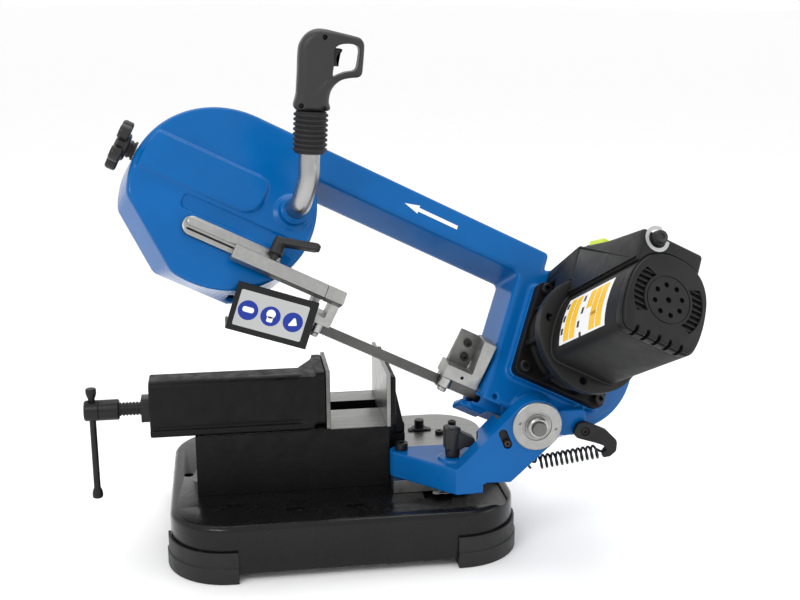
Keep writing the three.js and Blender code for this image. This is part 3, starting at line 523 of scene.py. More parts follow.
def bow_casting():
    back, front = CASE["back"], CASE["front"]
    rim, draft = 5, 2
    low_back, low_front = CASE["bottom_back"], CASE["bottom"]
    levels = [(back, 1, low_back), (back + 1, 0, low_back), (front - rim, draft, low_front)]
    levels += [(front - rim + rim * sin(radians(a)), draft + rim * (1 - cos(radians(a))), low_front)
               for a in (30, 60, 90)]
    body = loft("bow_casting", [[(x, y, z) for x, y in case_outline(i, low)] for z, i, low in levels])
    combine(body, [arm_room("room", -103, 0)])
    panel_corners = [(-600, -12, 4), (-404, -12, 24), (-404, 40, 14), (-600, 40, 4)]
    panel = loft("panel", [[(x, y, z) for x, y in (inset(rounded(panel_corners, 8), i) if i else
                 rounded(panel_corners, 8))] for z, i in ((30, 0), (38, 0), (41, 1), (43.5, 3.5))])
    combine(panel, [prism("trim", case_outline(9), 20, 60, 0, 0)], "INTERSECT")
    raised = [panel,
              prism("gear_pad", rectangle(-62, 62, -62, 62, 8), 30, 46, 1, 0),
              prism("tube_boss", circle(*TUBE_FOOT, 17), 30, 50, 2, 0),
              prism("boss_foot", circle(*TUBE_FOOT, 22), 30, 40.5, 2.4, 0),
              prism("lip", rectangle(-94, -60, -106, -97, 2), back, 2, 1, 1),
              pivot_disc("pivot_lug", 31, -124.7, -97, 1),
              in_bow(prism("spring_lug", rectangle(256, 290, 141, 173, 5), -125, -90, 1, 1, lay="y"))]
    merge(body, raised)
    cavity = prism("cavity", case_outline(5.5, CASE["bottom_back"]), back - 4, front - 5, 0, 0)
    combine(cavity, [arm_room("wall", -98, 6), pivot_disc("lug_wall", 35, -200, -93)])
    cutters = [
        cavity,
        pivot_disc("boss_room", 43, -220, -124.7),
        prism("gear_window", circle(0, 0, 40), front - 8, 60, 0, 0),
        prism("track_channel", rectangle(-490, -340, -33.5, -15, 6), front - 3.5, 60, 0, 2.5),
        prism("outlet", rectangle(-400, -330, -98, -76, 3), -11, 11, 0, 0),
        prism("inlet", rectangle(-97, -74, -98, -78, 3), -12, 14, 0, 0),
        prism("screw_hole", circle(KNOB.y, KNOB.z, 5.6), -565, -540, 0, 0, lay="x"),
        prism("guide_access", circle(-66.4, -92, 3.4, 32), front - 8, 60, 0, 0),
        pivot_disc("pivot_hole", 8.8, -130, -100.5),
    ]
    combine(body, cutters)
    voxel = 1.5
    return cast(body, voxel, 3, 0.4)


settle(bow_casting(), BOW, "bow", BLUE, "bow_frame", crease=60)
cover = prism("back_cover", case_outline(1.2, CASE["bottom_back"]), CASE["back"] - 3, CASE["back"] - 0.3,
    0.4, 0.8)
settle(cover, BOW, "bow", BLUE, "rear_cover")

arrow = [(-247, 87.5), (-228, 82), (-228, 85), (-175, 85), (-175, 90), (-228, 90), (-228, 93)]
arrow_mark = prism("direction_arrow", arrow, 38.02, 38.2, 0, 0)
settle(arrow_mark, BOW, "bow", WHITE_INK)


# ------ motor, gearbox and switches
MOTOR = dict(flange=69, flange_back=97, flange_front=112, body=255, end=271)
MOTOR_HALF = [(0, -49), (31, -49), (41, -45.5), (46.5, -34), (49, -12), (47.4, 12), (42, 29), (32, 42),
    (17, 50)]


def motor_section(distance=0.0):
    """The motor's section: a flat underside, bulging sides and an arched top."""
    other = [(-x, y) for x, y in reversed(MOTOR_HALF[1:])]
    points = [tuple(p) for p in flowing(MOTOR_HALF + [(0, 52)] + other, 6)]
    return inset(points, distance) if distance else points


def skin(name, start, end, low, high, stand, thickness=0.12):
    """A patch on the motor's side, between two shares of its section and two depths."""
    section = motor_section(-stand)
    top = motor_section(-stand - thickness)
    count = len(section)
    span = [int(round(count * (start + (end - start) * k / 12))) % count for k in range(13)]
    ring = lambda z: ([(section[k][0], section[k][1], z) for k in span]
        + [(top[k][0], top[k][1], z) for k in reversed(span)])
    return loft(name, [ring(low), ring(high)])


def motor_housing():
    front = MOTOR["flange_front"]
    body = prism("motor_body", motor_section(), front - 3, MOTOR["body"], 0.7, 0)
    profile = [(10, 97), (10, 112), (50, 112), (67, 112), (69, 110.5), (69, 99), (67.5, 97)]
    flange = turned("flange", profile, 96, closed=True)
    root = prism("root", inset(motor_section(), -2.2), front - 2, front + 2.4, 1.8, 0)
    merge(body, [flange, root])
    holes = []
    for angle in (3, 93, 183, 273):
        x, y = 58 * cos(radians(angle)), 58 * sin(radians(angle))
        holes.append(turned("hole", [(4.8, 95), (4.8, 116)], 24, at=(x, y, 0)))
    combine(body, [prism("hollow", motor_section(5), front - 6, MOTOR["body"] + 5, 0, 0)] + holes)
    return body


def motor_cap():
    end = MOTOR["end"]
    cap = prism("motor_cap", motor_section(), MOTOR["body"] + 0.5, end - 5, 0.6, 0.6)
    face = prism("cap_face", motor_section(1.6), end - 7, end, 2.2, 0)
    merge(cap, [face])
    cutters = [prism("slot", rectangle(x - 2, x + 2, -56, -40.5, 1.6), end - 13, end + 4, 0, 0)
               for x in (-27, -13.5, 0, 13.5, 27)]
    for side in (-1, 1):
        window = [(side * x, y) for x, y in arc(0, 0, 41.5, -38, 38, 14) + arc(0, 0, 29, 46, -46, 14)]
        window = window if side > 0 else window[::-1]
        cutters.append(prism("window", window, end - 5, end + 4, 0, 0))
    cutters.append(turned("groove", [(25.2, end - 0.9), (25.2, end + 2), (26.4, end + 2),
        (26.4, end - 0.9)], 64, closed=True))
    for k in range(8):
        a = radians(22.5 + 45 * k)
        cutters.append(turned("vent", [(2.9, end - 5), (2.9, end + 3)], 24,
            at=(16.5 * cos(a), 16.5 * sin(a), 0)))
    cutters.append(turned("vent", [(3.3, end - 5), (3.3, end + 3)], 24))
    combine(cap, cutters)
    ribs = []
    for side in (-1, 1):
        for k in range(8):
            y = -22 + 6.3 * k
            inner, outer = sqrt(max(29 ** 2 - y * y, 0)), sqrt(41.5 ** 2 - y * y)
            ribs.append(prism("rib", rectangle(*sorted((side * (inner - 1), side * (outer + 1))), y - 1,
                y + 1, 0.4, 2), end - 6, end - 1.2, 0.3, 0))
    return joined("motor_cap", [cap] + ribs)


settle(motor_housing(), BOW, "bow", PLASTIC, "motor_housing")
settle(motor_cap(), BOW, "bow", PLASTIC, "motor_end_cap")


def saddle(name, profile, left, right, ease):
    """A box over the motor, from a (height, depth) profile across the saw."""
    return prism(name, rounded(profile, 5), left, right, ease, ease, 4, lay="x")


control = saddle("control_housing", [(30, 113, 1), (97, 113, 1.5), (80.5, 186, 2), (68, 267.6, 5),
    (30, 267.6, 1)], -46, 30, 4)
combine(control, [prism("motor_room", motor_section(-0.4), 100, 290, 0, 0),
    prism("switch_well", rectangle(-35, -9, 57, 110, 1), 125, 151, 0, 0)])
merge(control, [prism("hinge_bar", rectangle(-40, -4, 92, 99, 1), 117, 123, 0.6)])
combine(control, [loft("seam", [[(-60, 60, 248), (40, 60, 248), (40, 60, 248.6), (-60, 60, 248.6)],
    [(-60, 95, 248), (40, 95, 248), (40, 95, 248.6), (-60, 95, 248.6)]])])
settle(control, BOW, "bow", PLASTIC, "control_box")

switch = saddle("switch_housing", [(65, 38.4, 1), (86, 38.4, 1.5), (91, 68, 3), (99, 112.7, 1.5),
    (38, 112.7, 1), (38, 68, 1), (65, 68, 1)], -46, 30, 3)
combine(switch, [turned("flange_room", [(69.7, 50), (69.7, 125)], 96)])
settle(switch, BOW, "bow", PLASTIC, "switch_box")

dial = turned("speed_dial", [(4, 268.4), (8.2, 268.4), (8.4, 271), (7.6, 275.6), (6.8, 277.2), (3, 277.6),
    (2.4, 276.4)], 48, at=(DIAL.x, DIAL.y, 0))
flutes = [turned("flute", [(1.1, 266), (1.1, 290)], 10, at=(DIAL.x + 8.8 * cos(2 * pi * k / 16),
    DIAL.y + 8.8 * sin(2 * pi * k / 16), 0)) for k in range(16)]
combine(dial, flutes)
settle(dial, BOW, "speed_knob", KNOB_PLASTIC, "speed_knob")
scale = arc(DIAL.x, DIAL.y, 14.6, 80, 370, 40) + arc(DIAL.x, DIAL.y, 10.4, 370, 80, 40)
settle(prism("dial_scale", scale, 267.62, 267.8, 0, 0), BOW, "bow", SILVER_FOIL)

# the rating plate: plain blocks, no lettering
settle(skin("plate", 0.70, 0.855, 131, 232, 0.05), BOW, "bow", WHITE_INK)
cells = [((0.712, 0.843), (140, 152)), ((0.712, 0.843), (153.5, 166)), ((0.712, 0.772), (184, 196)),
         ((0.786, 0.843), (197.5, 210)), ((0.712, 0.80), (197.5, 210)), ((0.712, 0.843), (211.5, 224))]
for index, ((start, end), (low, high)) in enumerate(cells):
    settle(skin(f"plate_cell_{index + 1}", start, end, low, high, 0.18, 0.06), BOW, "bow", AMBER_INK)
for index, (start, low) in enumerate(((0.72, 132.5), (0.76, 132.5), (0.80, 132.5), (0.72, 171), (0.76, 174),
                                      (0.80, 170), (0.83, 176))):
    settle(skin(f"plate_mark_{index + 1}", start, start + 0.018, low, low + 5, 0.18, 0.06), BOW, "bow",
        BLACK_INK)

gear_profile = [(12, 60), (58, 60), (58, 66), (54, 68), (54, 90), (56, 94), (58, 96.7), (12, 96.7)]
gearbox = prism("gearbox", rectangle(-61, 61, -61, 61, 9), 46.3, 59, 1.2, 0.4, 3)
merge(gearbox, [turned("neck", gear_profile, 96, closed=True)])
webs = [prism("web", rectangle(-3, 3, 50, 62, 1), 57, 92, 1, 0) for _ in range(8)]
for k, web in enumerate(webs):
    web.data.transform(Matrix.Rotation(radians(22.5 + 45 * k), 4, "Z"))
merge(gearbox, webs)
combine(gearbox, [turned("bore", [(10.3, 30), (10.3, 120)], 32, at=(DRIVE.x, 0, 0))])
settle(gearbox, BOW, "bow", CAST_BLACK, "gearbox_housing")


def cap_screw(name, x, y, low, radius, height, socket, matrix, body, lay="z", replaces=()):
    """A socket-head screw with its hexagonal recess."""
    ease = radius * 0.14
    profile = [(socket, low), (radius - 0.3, low), (radius, low + 0.3), (radius, low + height - ease),
               (radius - ease, low + height), (socket * 0.95, low + height)]
    head = turned(name, profile, 36, at=LAY[lay](x, y, 0), lay=lay)
    recess = turned("recess", [(socket, low + height * 0.45), (socket, low + height + 1)], 6,
        at=LAY[lay](x, y, 0), lay=lay)
    combine(head, [recess])
    return settle(head, matrix, body, OXIDE, replaces)


for index, (side_x, side_y) in enumerate(((-1, -1), (1, -1), (1, 1), (-1, 1))):
    cap_screw(f"gearbox_screw_{index + 1}", side_x * 51.4, side_y * 51.4, 59.3, 6.5, 7.7, 3.4, BOW, "bow",
              replaces=f"gearbox_bolt_{index + 1}")

# ------ blade
BLADE = dict(width=13, thickness=0.9, radius=87.6, tooth=1.3, pitch=2.1)


def blade_station(distance):
    """Centre, width direction and face direction of the blade at a distance round its loop."""
    radius = BLADE["radius"]
    straight = DRIVE.x - IDLER.x
    if distance < straight:  # the lower run, from the idler to the drive wheel
        x = IDLER.x + distance
        rise = min(max((x + 428) / 112, 0), 1), min(max((-4 - x) / 72, 0), 1)
        share = min(rise)
        share = share * share * (3 - 2 * share)
        turn = (pi / 2 - TILT) * share
        return Vector((x, -radius, 0)), Vector((0, sin(turn), cos(turn))), Vector((0, -cos(turn), sin(turn)))
    distance -= straight
    half = pi * radius
    if distance < half:
        a = -pi / 2 + distance / radius
        face = Vector((cos(a), sin(a), 0))
        return Vector((DRIVE.x, 0, 0)) + face * radius, ROW_Z, face
    distance -= half
    if distance < straight:
        return Vector((DRIVE.x - distance, radius, 0)), ROW_Z, Vector((0, 1, 0))
    a = pi / 2 + (distance - straight) / radius
    face = Vector((cos(a), sin(a), 0))
    return Vector((IDLER.x, 0, 0)) + face * radius, ROW_Z, face


def blade():
    length = 2 * (DRIVE.x - IDLER.x) + 2 * pi * BLADE["radius"]
    teeth = int(length / BLADE["pitch"])
    rings = []
    for k in range(teeth):
        for share, depth in ((0.0, 0.0), (0.28, BLADE["tooth"]), (0.62, BLADE["tooth"] * 0.8)):
            centre, wide, face = blade_station((k + share) * length / teeth)
            back, front = wide * BLADE["width"] / 2, -wide * (BLADE["width"] / 2 - depth)
            lift = face * BLADE["thickness"] / 2
            rings.append([centre + back + lift, centre + front + lift, centre + front - lift,
                centre + back - lift])
    return loft("saw_band", rings, closed=True)


settle(blade(), BOW, "bow", BLADE_STEEL, "saw_blade", crease=30)

# ------ handle
to_plan = PLAN.inverted() @ BOW
grip_to_plan = PLAN.inverted() @ GRIP
route = [to_plan @ Vector((*TUBE_FOOT, z)) for z in (50.3, 62, 76)]
route += [grip_to_plan @ Vector((0, y, 0)) for y in (-14, 6, 30, 56)]
path = flowing(route, 8, closed=False)
tube = rod("handle_pipe", path, 12, 32)
settle(tube, PLAN, "bow", TUBE, "handle_tube")
collar = washer("tube_collar", 12.1, 14.6, 49.9, 52.6, 0.8, at=(*TUBE_FOOT, 0))
settle(collar, BOW, "bow", BLUE)

rings = [(12.6, 14.5), (16.2, 14.5), (17, 15.5)]
for k in range(8):
    low = 17 + 5.4 * k
    rings += [(17, low), (18.6, low + 0.7), (19.3, low + 1.7), (19.3, low + 2.5), (18.6, low + 3.5),
        (17, low + 4.2)]
rings += [(17, 60.5), (12.6, 60.8)]
bellows = turned("bellows", rings, 48, at=(0, 0, 0), closed=True, lay="y")
settle(bellows, GRIP, "bow", RUBBER, "handle_bellows", crease=50)

grip_outline = flowing([(-17.5, 62), (-17.3, 80), (-17, 100), (-17, 122), (-15.5, 133), (-9, 143),
    (0, 148.6), (10, 149.6), (26, 147), (44, 143.6), (50.5, 141.6), (54.6, 136), (55, 126), (54.4, 108),
    (53.4, 102.5), (49.5, 99.6), (42, 98.6), (32, 96), (24.5, 90), (20, 82), (18.6, 72), (18, 62)][::-1], 4)
grip = prism("grip_body", grip_outline, -15, 15, 9, 9, 6)
opening = flowing([(21.2, 101.5), (22, 113), (21.5, 125), (23.6, 131), (30, 134.4), (40, 135.2),
    (47.6, 133), (49.6, 128), (48.8, 117), (47.6, 109.5), (44, 106.4), (36, 104.8), (28, 101.6),
    (23.4, 99.2)][::-1], 4)
grip_cuts = [prism("opening", opening, -30, 30, 0, 0),
             prism("pocket", rectangle(7, 26, 107.6, 132.4, 1), -7.2, 7.2, 0, 0)]
grip_cuts += [turned("screw_well", [(2.7, 8), (2.7, 30)], 20, at=(x, y, 0))
              for x, y in ((-12, 67), (12.6, 65), (11, 141))]
combine(grip, grip_cuts)
for vertex in grip.data.vertices:  # the body of the grip is fuller than its loop
    body_share = min(max((30 - vertex.co.x) / 20, 0), 1)
    vertex.co.z *= 0.78 + 0.3 * body_share * body_share * (3 - 2 * body_share)
settle(cast(grip, 0.9, 2, 0.5), GRIP, "bow", GRIP_PLASTIC, "handle_grip", crease=60)
trigger_outline = flowing([(15, 111.5), (15, 129.6), (25, 129.8), (30.6, 129.2), (30.8, 126.6), (27.6, 122),
    (26.4, 117), (28, 111.6), (27, 110.6), (20, 110.6)][::-1], 4)
settle(prism("trigger_key", trigger_outline, -5.8, 5.8, 1.6, 1.6), GRIP, "trigger", KNOB_PLASTIC,
    "trigger")

# ------ guides and guard
guide_lever = turned("guide_lever", [(3.9, -54.4), (3.9, -48), (6, -46.7), (8.2, -46), (7.6, -32),
    (6.6, -25.4), (5, -24.6)], 40, at=(CLAMP.x, 0, CLAMP.z), lay="y")
arm_shape = [(-378, 55, 3), (-371, 44, 4), (-334, 73, 3), (-330, 80, 3), (-336, 86, 3)]
blade_arm = prism("arm", rounded(arm_shape, 4), -34, -25.4, 2, 2, lay="y")
merge(guide_lever, [blade_arm])
settle(cast(guide_lever, 0.5, 2, 0.6), BOW, "guide_clamp_lever", KNOB_PLASTIC,
    "guide_clamp_lever")

low_line = -WHEEL_RADIUS * cos(TILT)
deep_line = WHEEL_RADIUS * sin(TILT)


def roller_pins(x):
    """The two eccentric pins that carry a pair of guide rollers, with their nuts."""
    top = low_line + 8.6
    pins = []
    for side in (-1, 1):
        profile = [(2.9, top + 6), (2.9, top - 13.4), (5.4, top - 13.6), (5.6, top - 14.4), (5.6, top - 17),
                   (4.6, top - 18), (1, top - 18)]
        pins.append(turned("pin", profile, 24, at=(x, 0, deep_line + side * 8.7), lay="y"))
    return pins


rear_shape = [(-131, -66, 1.2), (-84.8, -66, 1.2), (-86.6, -7, 1.2), (-103, -7, 1.2), (-98, -50, 1.2),
    (-131, -50, 1.2)]
rear_bracket = prism("rear_guide_bracket", rounded(rear_shape, 4), deep_line - 16, deep_line + 18, 0.8)
combine(rear_bracket, [turned("bolt_hole", [(2.2, 50), (2.2, 80)], 20, at=(-108, -58.5, 0))])
merge(rear_bracket, roller_pins(-122))
settle(rear_bracket, CUT, "bow", ALUMINIUM, "rear_guide_block")
recess_plate = prism("guide_back_plate", rectangle(-126, -100, -51, -9, 1.5), 28, 38, 0.8)
settle(recess_plate, CUT, "bow", DULL_STEEL)
for index, (x, y) in enumerate(((-114, -21), (-110, -38))):
    cap_screw(f"guide_screw_{index + 1}", x, y, 38.2, 4.8, 5.5, 2.2, CUT, "bow")

front_bracket = prism("front_guide_bracket", rectangle(-311, -280, -66, -24, 1.2), deep_line - 2,
    deep_line + 26, 0.8)
bar_end = prism("bar_end", rectangle(-302.6, -280, -71, -55, 1.2), 43.4, 57, 0.8)
bar_end.data.transform(CUT.inverted() @ BOW)
combine(front_bracket, [prism("window", rectangle(-304, -290, -57, -34, 1), 20, 90, 0, 0)])
foot_plate = prism("foot_plate", rectangle(-303, -280, -66, -57, 1.2), deep_line - 18, deep_line + 20, 0.8)
merge(front_bracket, [bar_end, foot_plate] + roller_pins(-291))
settle(front_bracket, CUT, "guide_slide", ALUMINIUM, "front_guide_block")
track = prism("guide_rail", rectangle(-480, -362, -62.6, -39, 11.6, 10), 38.3, 43, 1.6, 0.2)
combine(track, [prism("tee_slot", rectangle(-474, -300, -57.4, -54.8, 1), 40.8, 60, 0, 0)])
merge(track, [prism("rail_crown", rectangle(-477, -363, -52, -41, 5, 8), 42, 45.4, 2.6, 0),
              prism("clamp_lug", rectangle(-385, -363, -54.4, -47.2, 1.4), 42, 44, 0.8, 0)])
settle(track, BOW, "bow", ALUMINIUM, "guide_track")
# painted shade: a thin dark sheet on the floor of the rail's groove darkens it where shadow falls
rail_groove_painted_shade = prism("rail_slot_painted_shade", rectangle(-473, -364, -57.2, -55, 0.8), 40.9, 41.3, 0.1)
settle(rail_groove_painted_shade, BOW, "bow", OXIDE)

guard_turn = Matrix.Rotation(radians(8.2), 4, "Z")
GUARD = CUT @ Matrix.Translation((-348, low_line, deep_line)) @ guard_turn
label = prism("guard_label", rectangle(-41, 38, -21, 21, 2), 43.02, 43.2, 0, 0)
settle(label, GUARD, "guide_slide", SILVER_FOIL)
for index, x in enumerate((-28, -2, 24)):
    settle(prism(f"guard_disc_{index + 1}", circle(x, -1, 11.4), 43.22, 43.32, 0, 0), GUARD, "guide_slide",
        BLUE_INK)
marks = [prism("mark_1", rectangle(-34.5, -21.5, -3.4, 2.8, 2.6), 43.33, 43.4, 0, 0),
         prism("mark_2", circle(-2, 1.6, 5.2, 24), 43.33, 43.4, 0, 0),
         prism("mark_3", rectangle(-5.4, 1.4, -8, -1.4, 1.6), 43.33, 43.4, 0, 0),
         prism("mark_4", rounded([(19, -6.6, 1), (29.6, -3.6, 1), (25, 6.4, 1.6)]), 43.33, 43.4, 0, 0)]
settle(joined("guard_marks", marks), GUARD, "guide_slide", WHITE_INK)

# ------ spring, knobs and levers
washer_profile = [(9, -150.4), (29.2, -150.4), (29.3, -152.2), (28.4, -153), (17.4, -153), (16.8, -151.8),
    (15, -151.8), (14.4, -153.2), (9, -153.2)]
pivot_ring = turned("pivot_ring", washer_profile, 72, closed=True, at=(PIVOT.x, 0, PIVOT.z), lay="y")
combine(pivot_ring, [turned("pin_hole", [(1.8, -156), (1.8, -151)], 20, at=(PIVOT.x + x, 0, PIVOT.z + z),
    lay="y") for x, z in ((-21, 5), (22, -4))])
settle(pivot_ring, PLAN, "swivel_arm", ALUMINIUM, "pivot_washer")
collar = washer("pivot_collar", 8.9, 12.4, -160.4, -153.5, 1.4, at=(PIVOT.x, 0, PIVOT.z), lay="y")
settle(collar, PLAN, "swivel_arm", STEEL, "pivot_nut")

AXIS_INSET = 0.0089  # metres from the box of the CAD spring to its centre line
spring_low, spring_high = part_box("return_spring")
spring_y = (spring_low.y + spring_high.y) / 2
spring_start = PLAN.inverted() @ Vector((spring_low.x, spring_y, spring_low.z + AXIS_INSET))
spring_end = PLAN.inverted() @ Vector((spring_high.x, spring_y, spring_high.z - AXIS_INSET))
run = (spring_end - spring_start).normalized()
side = run.cross(ROW_Y).normalized()
TURNS, COIL, WIRE, STEPS = 12, 7.5, 1.5, 16
coil_path = []
for k in range(TURNS * STEPS + 1):
    a = 2 * pi * k / STEPS
    centre = spring_start.lerp(spring_end, k / (TURNS * STEPS))
    coil_path.append(centre + ROW_Y * COIL * cos(a) + side * COIL * sin(a))
hook_in = [spring_start - run * 9 - side * 6, spring_start - run * 11.5 - side * 1,
    spring_start - run * 9 + side * 3, spring_start - run * 4 + side * 1,
    spring_start - run * 1.2 + ROW_Y * 4]
hook_out = [spring_end + run * 1.2 + ROW_Y * 4, spring_end + run * 4 - side * 1,
    spring_end + run * 8 + side * 2, spring_end + run * 10 + side * 6, spring_end + run * 6 + side * 9]
coil_path = (flowing(hook_in + [coil_path[0]], 6, closed=False)[:-1] + coil_path
             + flowing([coil_path[-1]] + hook_out, 6, closed=False)[1:])
spring = rod("tension_spring", coil_path, WIRE, 8)
spring.data.transform(PLAN)
spring.data.materials.append(OXIDE)
shade(spring.data, 60)
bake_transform(spring)
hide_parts("return_spring")

star = turned("star_knob", [(4, -581), (15, -581), (16, -579), (16, -567.5), (13, -566.3), (4, -566.3)], 48,
              at=(0, KNOB.y, KNOB.z), lay="x")
lobes = []
for k in range(5):
    a = 2 * pi * k / 5
    lobes.append(turned("lobe", [(4, -582.5), (7, -582.4), (9, -580), (9, -571.6), (7.4, -569.8),
        (4, -569.6)], 32, at=(0, KNOB.y + 21.5 * cos(a), KNOB.z + 21.5 * sin(a)), lay="x"))
merge(star, lobes)
settle(cast(star, 0.9, 4, 0.5), BOW, "tension_knob", KNOB_PLASTIC, "tension_knob", crease=60)
hub = turned("tension_hub", [(5.7, -566), (10, -566), (10.4, -563), (9, -562.4), (9, -560.6), (11, -560),
    (11, -557.6), (5.7, -557.6)], 32, closed=True, at=(0, KNOB.y, KNOB.z), lay="x")
settle(hub, BOW, "tension_knob", OXIDE)

lock_hub = turned("lock_hub", [(6, 119.4), (8.2, 119.4), (8.8, 121), (10.4, 150), (9.6, 154), (4, 155)], 48,
    at=(LOCK.x, LOCK.y, 0))
wing_shape = [(-10.2, 129, 1.5), (9, 129, 1.5), (13, 131.5, 2), (22.6, 131.5, 2.4), (25.8, 134.6, 2),
    (25.8, 141.4, 2.4), (-6, 157.6, 2.4), (-10.4, 155.4, 2)]
wing = prism("wing", rounded([(LOCK.x + x, z, r) for x, z, r in wing_shape], 4), LOCK.y - 8.5, LOCK.y + 8.5,
    1.6, 1.6, lay="y")
merge(lock_hub, [wing, turned("stud", [(5, 107.4), (5, 121)], 24, at=(LOCK.x, LOCK.y, 0))])
settle(cast(lock_hub, 0.6, 1, 0.5), PLAN, "swivel_lock_lever", KNOB_PLASTIC,
    "swivel_lock_lever", crease=60)

bracket_shape = [(268.6, 143, 9), (302, 132.4, 8), (311, 128.6, 3), (314.6, 122.6, 3), (309.6, 119.6, 1.6),
    (310.4, 113.6, 1.6), (319, 114.6, 5), (326.6, 121, 5), (327.4, 134, 9), (313, 148.6, 8),
    (281, 162.6, 9.5)]
bracket = prism("spring_bracket_arm", rounded(bracket_shape, 6), -134.5, -125.4, 2.2, 1, lay="y")
combine(bracket, [turned("bolt_well", [(5.4, -140), (5.4, -131.6)], 32, at=(287, 0, 148.4), lay="y")])
settle(bracket, PLAN, "bow", OXIDE, "spring_bracket")
bracket_bolt = turned("bracket_bolt", [(2, -131.4), (4.6, -131.4), (4.6, -133.4), (4, -134), (2.2, -134)],
    32, closed=True, at=(287, 0, 148.4), lay="y")
settle(bracket_bolt, PLAN, "bow", OXIDE)

# ------ vise screw and bar
screw_profile = [(4, -303), (11, -303), (12.5, -301.4), (12.5, -286.5), (11.9, -286), (12.5, -285.5),
    (12.5, -263.5), (11, -262), (8.2, -262)]
PITCH, THREADS = 4, 56
for k in range(THREADS):
    start = -262 + PITCH * k
    screw_profile += [(8.2, start), (8.2, start + 2), (7.2, start + 2.4), (7.2, start + 3.6)]
screw_profile += [(8.2, -38.6), (7.6, -38), (3, -38)]
screw = turned("lead_screw", screw_profile, 32, at=(0, SCREW.y, SCREW.z), lay="x")
combine(screw, [turned("cross_hole", [(4.6, 150), (4.6, 200)], 24, at=(SCREW.x, SCREW.y, 0))])
settle(screw, PLAN, "vise_screw", OXIDE, "vise_screw")
bar_low, bar_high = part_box("tommy_bar")
low, high = (PLAN.inverted() @ bar_low).z, (PLAN.inverted() @ bar_high).z
bar_profile = [(3, low), (5.6, low + 0.4), (6.4, low + 1.6), (6.4, low + 6), (5.4, low + 10), (4, low + 13),
    (4, high - 13), (5.4, high - 10), (6.4, high - 6), (6.4, high - 1.6), (5.6, high - 0.4), (3, high)]
settle(turned("cross_bar", bar_profile, 32, at=(SCREW.x, SCREW.y, 0)), PLAN, "tommy_bar", OXIDE,
    "tommy_bar")

# ------ castings kept from the CAD outlines
slot_shape = arc(188.6, 143.4, 5.2, -158, 22, 10) + arc(182.8, 157.6, 5.2, 22, 202, 10)
arm = cast(copied("arm_casting", "swivel_arm", PLAN), 1.1, 4, 0.4)
combine(arm, [prism("slot", slot_shape, -156, -145, 0, 0, lay="y")])
settle(arm, PLAN, "swivel_arm", BLUE, "swivel_arm", crease=60)
# painted shade: a thin dark sheet at the bottom of the arm's slot darkens it where shadow falls
slot_painted_shade = prism("slot_painted_shade", inset(slot_shape, 0.1), -145.9, -144.6, 0.2, lay="y")
settle(slot_painted_shade, PLAN, "swivel_arm", OXIDE)
settle(cast(copied("moving_jaw_casting", "moving_jaw", PLAN), 1.3, 5, 0.4), PLAN, "vise_jaw", CAST_BLACK,
       "moving_jaw", crease=60)
settle(cast(copied("fixed_jaw_casting", "fixed_jaw", PLAN), 1.2, 3, 0.4), PLAN, "base", CAST_BLACK,
    "fixed_jaw", crease=60)

# ------ base
BASE = dict(length=412, width=329, top=68, skirt=10, corner=71)


def base_outline(distance):
    x, y = BASE["length"] / 2 - distance, BASE["width"] / 2 - distance
    return rectangle(-x, x, -y, y, BASE["corner"] - distance, 24)


def base_casting():
    top, rim = BASE["top"], 7
    levels = [(BASE["skirt"], 0.6), (BASE["skirt"] + 0.8, 0)]
    levels += [(top - rim + rim * sin(radians(a)), rim * (1 - cos(radians(a)))) for a in range(0, 91, 15)]
    body = loft("base_shell", [[(x, y, z) for x, y in base_outline(i)] for z, i in levels])
    cutters = [loft("hollow", [[(x, y, z) for x, y in base_outline(i)]
        for z, i in ((5, 6), (top - 12, 6), (top - 9, 9))]),
        prism("pocket", rectangle(96, 194, -146, -62, 18), top - 4, top + 4, 0, 1.6),
        prism("hole", circle(-186, 3, 6, 24), top - 14, top + 4, 0, 0)]
    for x, y in ((-129, -100), (-59, -120), (11, -122)):
        cutters.append(prism("slot", rectangle(x - 11, x + 11, y - 5, y + 5, 4.9), top - 14, top + 4, 0, 0))
    return combine(body, cutters)


base = base_casting()
bevel = base.modifiers.new("ease", "BEVEL")
bevel.width, bevel.segments, bevel.limit_method, bevel.angle_limit = 1.0, 2, "ANGLE", radians(50)
apply(base)
settle(base, PLAN, "base", BASE_BLACK, "base_casting")

# ------ small trim
stop_screw = turned("stop_screw", [(1.6, -146), (4.4, -146), (4.5, -150.4), (3.8, -151.4), (1.6, -151.5)],
    6, closed=True, at=(188, 0, 145), lay="y")
settle(stop_screw, PLAN, "swivel_arm", RUST)
stop_washer = prism("stop_washer", rounded([(106, 70, 3), (136, 70, 3), (138, 79, 6), (121, 86, 12),
    (104, 79, 6)], 5), 84.3, 86, 0.4)
settle(stop_washer, PLAN, "base", OXIDE)
for index, (x, y) in enumerate(((169, 92), (145, 57))):
    cap_screw(f"table_screw_{index + 1}", x, y, 84.2, 5.6, 4.5, 2.6, PLAN, "base")
sticker = prism("pointer_plate", rectangle(108, 132, -106, -96.5, 4.4), 68.02, 68.3, 0, 0)
settle(sticker, PLAN, "base", WHITE_INK)
settle(prism("pointer_mark", [(114, -104.6), (126, -104.6), (120, -98.4)], 68.31, 68.4, 0, 0), PLAN, "base",
    BLACK_INK)

bed_tops = [prism("front_way", rectangle(-171, 58, -65.5, 3.4, 1.5), 144.02, 144.16, 0.05),
            prism("back_way", rectangle(-171, 58, 36.6, 73, 1.5), 144.02, 144.16, 0.05)]
settle(joined("bed_ways", bed_tops), PLAN, "base", GROUND)

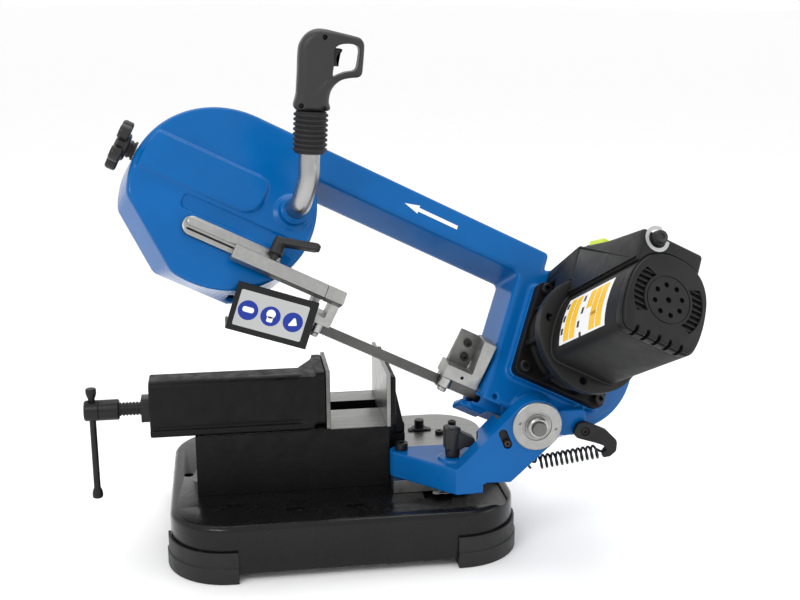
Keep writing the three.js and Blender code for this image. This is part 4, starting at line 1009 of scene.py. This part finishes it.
# ------ CAD nodes with better finishes
for name in ("foot_front_left", "foot_front_right", "foot_rear_left", "foot_rear_right"):
    dress(name, FOOT_PLASTIC, 1.8, 3, 50)
dress("vise_bed", CAST_BLACK, 1.6)
dress("vise_nut", STEEL, 0.8)
dress("fixed_jaw_plate", GROUND, 0.8)
dress("moving_jaw_plate", DULL_STEEL, 0.8)
dress("swivel_table", GROUND, 0.8)
for name in ("mitre_pivot_bolt", "table_stop_bolt", "screw_collar"):
    dress(name, OXIDE, 0.8)
for name in ("tension_screw", "drive_shaft", "motor_rotor", "idler_carriage"):
    dress(name, STEEL, 0.6)
dress("pivot_shaft", DULL_STEEL, 0.8)
for name in ("drive_wheel", "idler_wheel", "guide_bar"):
    dress(name, ALUMINIUM, 0.8)
dress("blade_guard", GUARD_BLACK, 0.8)
for name in ("front_guide_roller_outer", "front_guide_roller_inner", "rear_guide_roller_outer",
             "rear_guide_roller_inner"):
    dress(name, STEEL, 0.6)
dress("switch_cover", YELLOW, 0.9)
dress("power_button", KNOB_PLASTIC, 0.9)

# ------ floor and light
FLOOR_SIDE, FLOOR_NEAR, FLOOR_FAR = 40, -10, 400
floor = build("floor", [(-FLOOR_SIDE, FLOOR_NEAR, 0), (FLOOR_SIDE, FLOOR_NEAR, 0),
    (FLOOR_SIDE, FLOOR_FAR, 0), (-FLOOR_SIDE, FLOOR_FAR, 0)], [(0, 1, 2, 3)])
floor.data.materials.append(surface("pale_floor", (0.98, 0.98, 0.98), 0.6, tint=0.01, spread=0.03))
floor.location.z = -0.0002


def softbox(name, position, target, size, power):
    light = bpy.data.lights.new(name, "AREA")
    light.shape, light.size, light.size_y, light.energy = "RECTANGLE", *size, power
    lamp = bpy.data.objects.new(name, light)
    lamp.location = position
    lamp.rotation_mode = "QUATERNION"
    lamp.rotation_quaternion = (Vector(target) - Vector(position)).to_track_quat("-Z", "Y")
    bpy.context.scene.collection.objects.link(lamp)


softbox("key", (-1.2, -1.6, 1.9), (0, 0, 0.25), (1.0, 0.7), 20)
softbox("top", (0.1, 0.5, 2.1), (0, 0, 0.2), (1.6, 1.0), 14)
softbox("fill", (1.9, -0.9, 0.9), (0.1, 0, 0.25), (0.8, 0.8), 5)
world = bpy.data.worlds.new("studio")
bpy.context.scene.world = world
world.use_nodes = True
world.node_tree.nodes["Background"].inputs["Color"].default_value = (1, 1, 1, 1)
world.node_tree.nodes["Background"].inputs["Strength"].default_value = 1.0
bpy.context.scene.view_settings.view_transform = "Standard"
